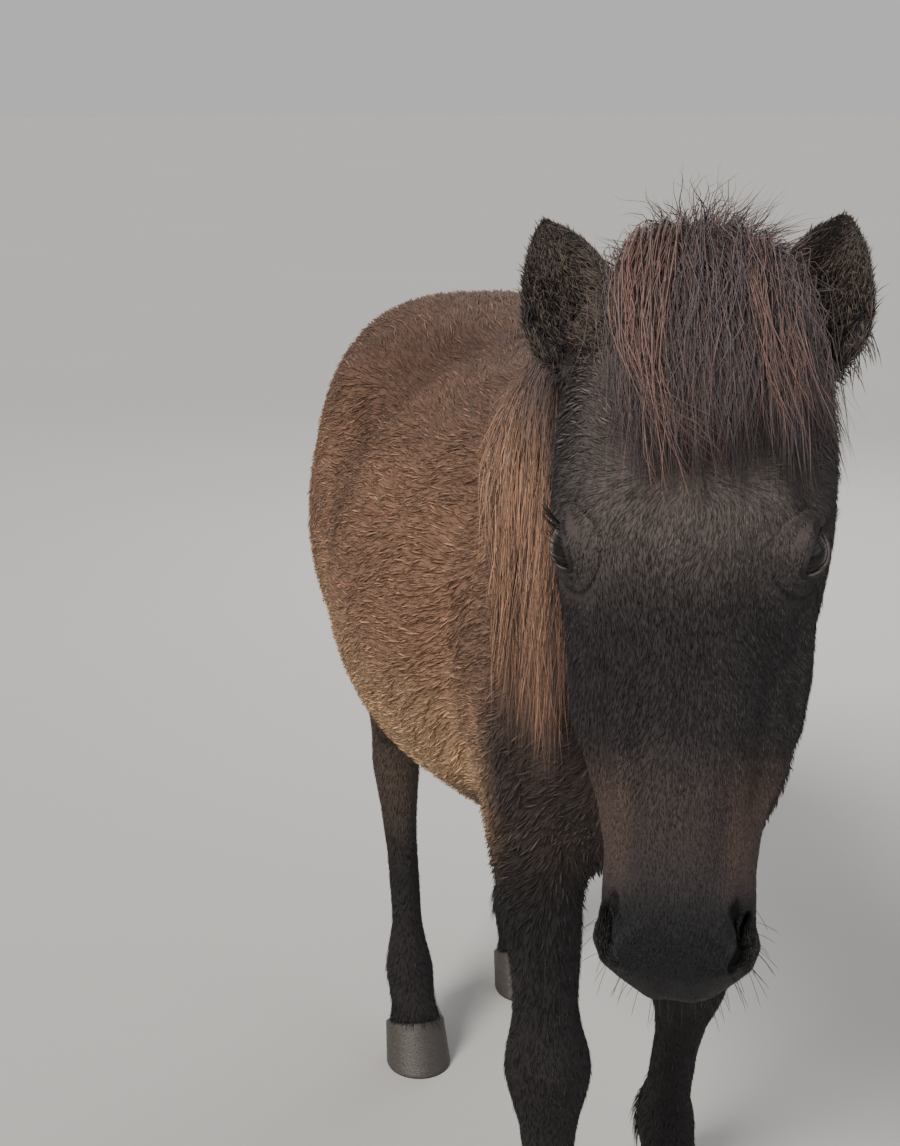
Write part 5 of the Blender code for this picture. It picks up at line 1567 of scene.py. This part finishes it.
def tail_paths(count, stations, seed, low, high, stray):
    """Strands round the tail's line: line + side * width * r * cos + back * depth * r * sin."""
    draw = np.random.default_rng(seed)
    knots = np.array(TAIL)
    line = smooth_line(np.column_stack([np.zeros(len(knots)), knots]), TAIL_ROWS)
    along = unit(np.gradient(line[:, :3], axis=0))
    side = np.tile([1.0, 0, 0], (TAIL_ROWS, 1))
    back = np.cross(along, side)
    back *= np.sign(back[:, 1:2] + back[:, 2:3] + 1e-9)
    start = draw.uniform(0.0, 0.30, count) ** 1.2
    t = np.linspace(0, 1, stations)
    at = start[:, None] + (draw.uniform(0.78, 1.0, count) - start)[:, None] * t
    i = np.clip(np.round(at * (TAIL_ROWS - 1)).astype(int), 0, TAIL_ROWS - 1)
    turn = draw.uniform(0, 2 * np.pi, count)[:, None] + draw.normal(0, 0.35, count)[:, None] * t
    share = draw.uniform(low, high, count)[:, None] * np.interp(t, [0, 0.25, 1], [0.35, 1.0, 1.0])
    width = np.maximum(line[i, 3], 0.030 * smoothstep(0.5, 0.8, at))
    depth = np.maximum(line[i, 4], 0.022 * smoothstep(0.5, 0.8, at))
    ring = np.cos(turn)[..., None] * side[i] * width[..., None]
    ring = ring + np.sin(turn)[..., None] * back[i] * depth[..., None]
    paths = line[i, :3] + share[..., None] * ring
    paths += draw.normal(0, 1, (count, 1, 3)) * (stray * t**2)[None, :, None]
    roots = np.column_stack([spread_out(turn[:, 0]), spread_out(start)])
    return paths, unit(ring + 1e-6), roots, draw


long_hair("tail_locks", tail_paths(1100, 9, 51, 0.25, 0.95, 0.003),
          0.0019, tail_finish, "tail", (-1, 0.8), 0.0030)
long_hair("tail_strands", tail_paths(700, 9, 52, 0.70, 1.02, 0.006),
          0.0005, tail_finish, "tail", (-1, 1), 0.0050)

# %% [markdown]
# ## Eyes
# A pony's eye is a ball 39 mm across, of which only an almond shows. The clear front bulges a
# little. The iris is nearly black-brown, and the pupil is a bar that lies level. One turned
# surface holds all this: its radius grows near its front, and its material reads two values,
# how far a point is from the eye's middle along the lids and across them.

# %% Eyes
EYE_RINGS, EYE_SPOKES = 48, 64


def eyeball(sign):
    """Radius R + 1.6 mm * exp(-(angle / 0.5)^2), at angle from the gaze and turn round it."""
    centre, look, long, short = gaze(sign)
    angle = np.linspace(0.02, np.pi - 0.02, EYE_RINGS)
    turn = np.linspace(0, 2 * np.pi, EYE_SPOKES, endpoint=False)
    angle, turn = np.meshgrid(angle, turn, indexing="ij")
    radius = EYE_RADIUS - 0.0004 + 0.0016 * np.exp(-((angle / 0.5) ** 2))
    spread = np.sin(angle) * radius
    points = centre + (np.cos(angle) * radius)[..., None] * look
    points = points + (spread * np.cos(turn))[..., None] * long + (spread * np.sin(turn))[..., None] * short
    front, rear = points[0].mean(0), points[-1].mean(0)
    values = {
        "lengthwise": np.append((spread * np.cos(turn)).ravel(), [0, 0]),
        "crosswise": np.append((spread * np.sin(turn)).ravel(), [0, 0]),
    }
    return np.concatenate([points.reshape(-1, 3), [front, rear]]), values


def capped_faces(rows, columns):
    """Triangles of a grid whose columns close, with a fan to one more point at each end."""
    quads = grid_faces(rows, columns)
    sides = np.concatenate([quads[:, [0, 1, 2]], quads[:, [0, 2, 3]]])
    j = np.arange(columns)
    k = (j + 1) % columns
    last = (rows - 1) * columns
    first_cap = np.column_stack([k, j, np.full(columns, rows * columns)])
    last_cap = np.column_stack([last + j, last + k, np.full(columns, rows * columns + 1)])
    return np.concatenate([sides, first_cap, last_cap])


def outwards(points, faces):
    """The faces turned round if together they enclose less than nothing."""
    corners = points[faces[:, :3]] - points.mean(0)
    volume = np.einsum("ij,ij->i", corners[:, 0], np.cross(corners[:, 1], corners[:, 2])).sum()
    return faces[:, ::-1] if volume < 0 else faces


eye_finish = Finish("eye", Roughness=0.10, Specular_IOR_Level=0.22, Coat_Weight=0.10, Coat_Roughness=0.02)
lengthwise, crosswise = eye_finish.value("lengthwise"), eye_finish.value("crosswise")
from_middle = (lengthwise * lengthwise + crosswise * crosswise) ** 0.5
pupil = ((lengthwise / 0.0062) ** 2 + (crosswise / 0.0036) ** 2).step(1.15, 0.85)
rays = eye_finish.node("TexNoise", Vector=eye_finish.place(), Scale=900.0, Detail=2.0)
iris = eye_finish.mix((0.010, 0.006, 0.004), (0.040, 0.019, 0.010), rays * from_middle.step(0.004, 0.010))
ball_colour = eye_finish.mix(iris, (0.014, 0.010, 0.010), from_middle.step(0.0112, 0.0128))
eye_finish.feed(Base_Color=eye_finish.mix(ball_colour, (0.003, 0.003, 0.004), pupil))
for sign, side in SIDES:
    points, values = eyeball(sign)
    faces = outwards(points, capped_faces(EYE_RINGS, EYE_SPOKES))
    piece("eyeball_" + side, points, faces, eye_finish.material, ("eye_" + side,), values)
print("eyeball radius:", EYE_RADIUS, "m")

# %% [markdown]
# ## Eyelids and lashes
# Lids are folded skin that slides over the ball. A ring of sections round the almond opening
# gives both lids at once: each section starts on the ball, rolls over a moist rim, rises to a
# soft fold and sinks under the skin. Strong lashes stand out from the upper lid.

# %% Eyelids and lashes
LID_SECTION = [
    (0.00, 0.1), (-0.02, 0.8), (0.00, 1.5), (0.04, 2.0), (0.09, 2.25), (0.14, 2.15), (0.20, 1.8),
    (0.26, 1.2), (0.33, 0.0), (0.26, -1.6), (0.12, -1.6), (0.03, -0.9), (0.00, 0.1),
]
LASH_PLACES, LASH_ROW = 360, 8
LOWER_HALF_HEIGHT = 0.36
SECTION_STRETCH, SECTION_PLACES = 20, 40


def lid_ring(sign, count=72):
    """Sections (spread, rise) round the almond, as angles from the gaze and heights in mm, with
    the values that say where the moist rim is."""
    centre, look, long, short = gaze(sign)
    turn = np.linspace(0, 2 * np.pi, count, endpoint=False)[:, None]
    knots = np.array(LID_SECTION)
    stretched = np.column_stack([knots[:, 0] * SECTION_STRETCH, knots[:, 1], 0 * knots[:, 0]])
    section = smooth_line(stretched, SECTION_PLACES)[:-1]
    spread, rise = section[:, 0] / SECTION_STRETCH, section[:, 1]
    height = np.sin(turn) * -np.sign(short @ DOWN)
    tall = np.where(height > 0, OPENING_HALF_HEIGHT, LOWER_HALF_HEIGHT)
    along = (OPENING_HALF_LENGTH + spread) * np.cos(turn)
    above = (tall + spread) * np.sin(turn) * (1 - 0.15 * np.cos(turn) ** 2)
    angle = np.hypot(along, above)
    way = along[..., None] * long + above[..., None] * short
    direction = np.cos(angle)[..., None] * look + (np.sin(angle) / angle)[..., None] * way
    fold = 1 + 0.30 * smoothstep(0.2, 0.8, height)
    moist = smoothstep(0.05, 0.01, spread) * (rise > -0.5) * smoothstep(0.5, -0.3, height)
    return centre + direction * (EYE_RADIUS + rise * fold * 0.001)[..., None], moist


lid_finish = Finish("eyelid_skin", Roughness=0.62, Specular_IOR_Level=0.25)
crinkle = lid_finish.node("TexNoise", Vector=lid_finish.place(), Scale=420.0, Detail=3.0)
lid_colour = lid_finish.mix((0.008, 0.007, 0.008), (0.026, 0.021, 0.022), crinkle)
rim_share = lid_finish.value("moist")
lid_finish.feed(
    Base_Color=lid_finish.mix(lid_colour, (0.130, 0.100, 0.092), rim_share * 0.8),
    Roughness=0.62 - 0.40 * rim_share,
    Normal=lid_finish.bump(crinkle, 0.0006),
)


def lashes(sign, count, seed):
    """Hairs that leave the upper lid's rim, curve out and up."""
    draw = np.random.default_rng(seed)
    ring = lid_ring(sign, LASH_PLACES)[0]
    centre, look, _, short = gaze(sign)
    turn = np.linspace(0, 2 * np.pi, LASH_PLACES, endpoint=False)
    upper = np.sin(turn) * np.sign(short @ DOWN) < -0.25
    chosen = draw.choice(np.flatnonzero(upper), count)
    root = ring[chosen, LASH_ROW]
    t = stations_along(6)
    fan = unit(root - centre)
    long_way = unit(0.9 * look + 0.5 * fan - 0.35 * DOWN + draw.normal(0, 0.14, (count, 3)))
    size = draw.uniform(0.009, 0.016, (count, 1, 1))
    return root[:, None] + size * t * long_way[:, None] + size * 0.35 * t * t * -DOWN


for sign, side in SIDES:
    ring, moist = lid_ring(sign)
    points = ring.reshape(-1, 3)
    quads = grid_faces(*ring.shape[:2], closed_rows=True)
    piece("eyelids_" + side, points, outwards(points, quads), lid_finish.material,
          values={"moist": moist.ravel()})
    paths = lashes(sign, 70, 60 + sign)
    single_hairs("lashes_" + side, paths, 0.00018, spread_out(paths[:, 0, :2]), lid_finish.material,
                 {"moist": np.zeros(len(paths))})

# %% [markdown]
# ## Hooves
# Horn grows down from the coronet in rings, so a hoof is a cone cut slantwise at the top and
# flat below. The wall's sections are rounder in front than at the heels. Small ripples in the
# radius are the growth rings, and the underside is a shallow dish.

# %% Hooves
CORONET_HEIGHT, CORONET_SLOPE = 0.045, np.radians(18)
HOOF_WIDTH, HOOF_FRONT, HOOF_HEEL = 0.0385, 0.0430, 0.0380
HOOF_SPOKES, HOOF_RINGS = 56, 22
HOOF_TAPER, GROWTH_SIZE, GROWTH_PITCH = 1.9, 0.006, 900
SOLE = [(0.0050, 0.05), (0.0048, 0.45), (0.0035, 0.78), (0.0002, 0.90), (0.0000, 0.975), (0.0025, 1.0)]


def hoof(name):
    """Radius at height z: 1 - 1.9 z of the sole's, with rings, up to the slanting coronet."""
    low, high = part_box(name)
    x = (low[0] + high[0]) / 2 - SHIFT[0]
    y = low[1] - SHIFT[1] + HOOF_FRONT
    turn = np.linspace(0, 2 * np.pi, HOOF_SPOKES, endpoint=False)
    across, ahead = np.cos(turn), np.sin(turn)
    across = np.sign(across) * np.abs(across) ** np.where(ahead < 0, 0.75, 1.0)
    reach = np.where(ahead > 0, HOOF_FRONT, HOOF_HEEL)
    share = np.linspace(0, 1, HOOF_RINGS)[1:]
    foot_y = y + 0.021
    top = CORONET_HEIGHT + np.tan(CORONET_SLOPE) * (foot_y - y + reach * ahead * 0.93)
    top = top / (1 + 0.5 * np.tan(CORONET_SLOPE)) - 0.0004
    rows = []
    for z, size in SOLE:
        rows.append((z + 0 * turn, size + 0 * turn))
    for part in share:
        z = 0.0025 + (top - 0.0025) * part
        ring = GROWTH_SIZE * np.sin(z * GROWTH_PITCH) * np.sin(np.pi * part)
        rows.append((z, 1.0 - HOOF_TAPER * z + ring))
    rows.append((top, rows[-1][1] * 0.6))
    z, size = (np.array(part) for part in zip(*rows))
    points = np.stack([x + across * size * HOOF_WIDTH, y + 0.5 * z - ahead * size * reach, z], -1)
    ends = [points[0].mean(0), points[-1].mean(0)]
    return np.concatenate([points.reshape(-1, 3), ends]), len(rows)


horn = Finish("hoof_horn", Roughness=0.45)
spot = horn.place()
rings = horn.grain(spot, (1, 0, 0.001), 420, 30)
streak = horn.grain(spot, (0, -0.45, 0.9), 700, 40)
horn.feed(
    Base_Color=horn.mix((0.016, 0.014, 0.014), (0.070, 0.058, 0.050), streak * rings * 1.6),
    Roughness=0.38 + 0.3 * rings,
    Normal=horn.bump(streak, 0.0008),
)
for name in ("fore_left", "fore_right", "hind_left", "hind_right"):
    points, rows = hoof("hoof_" + name)
    faces = outwards(points, capped_faces(rows, HOOF_SPOKES))
    piece("horn_" + name, points, faces, horn.material, ("hoof_" + name,))
print("hoof width:", 2 * HOOF_WIDTH, "m")

# %% [markdown]
# ## Whiskers
# Stiff single hairs stand out from the lips and chin and under the eyes. They are few, long and
# thin, and they point away from the skin rather than along it.

# %% Whiskers
WHISKERS = 110
draw = np.random.default_rng(71)
down, out, _ = head_places(face_middles)
chance = face_shares[1] * smoothstep(0.36, 0.40, down) * smoothstep(0.005, -0.03, out)
places, normals = scatter(chance, WHISKERS, draw)
t = stations_along(6)
size = draw.uniform(0.008, 0.020, (WHISKERS, 1, 1))
way = unit(normals + 0.5 * DOWN + draw.normal(0, 0.2, (WHISKERS, 3)))[:, None]
paths = places[:, None] + size * t * way + size * 0.25 * t * t * DOWN
single_hairs("whiskers", paths, 0.00014, round_head(places), lid_finish.material,
             {"moist": np.zeros(WHISKERS)})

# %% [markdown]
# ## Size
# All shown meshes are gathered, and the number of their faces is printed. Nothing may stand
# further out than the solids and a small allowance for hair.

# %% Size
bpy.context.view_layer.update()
triangles = sum(len(thing.data.polygons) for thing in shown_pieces() if thing.type == "MESH")
print("faces:", triangles)
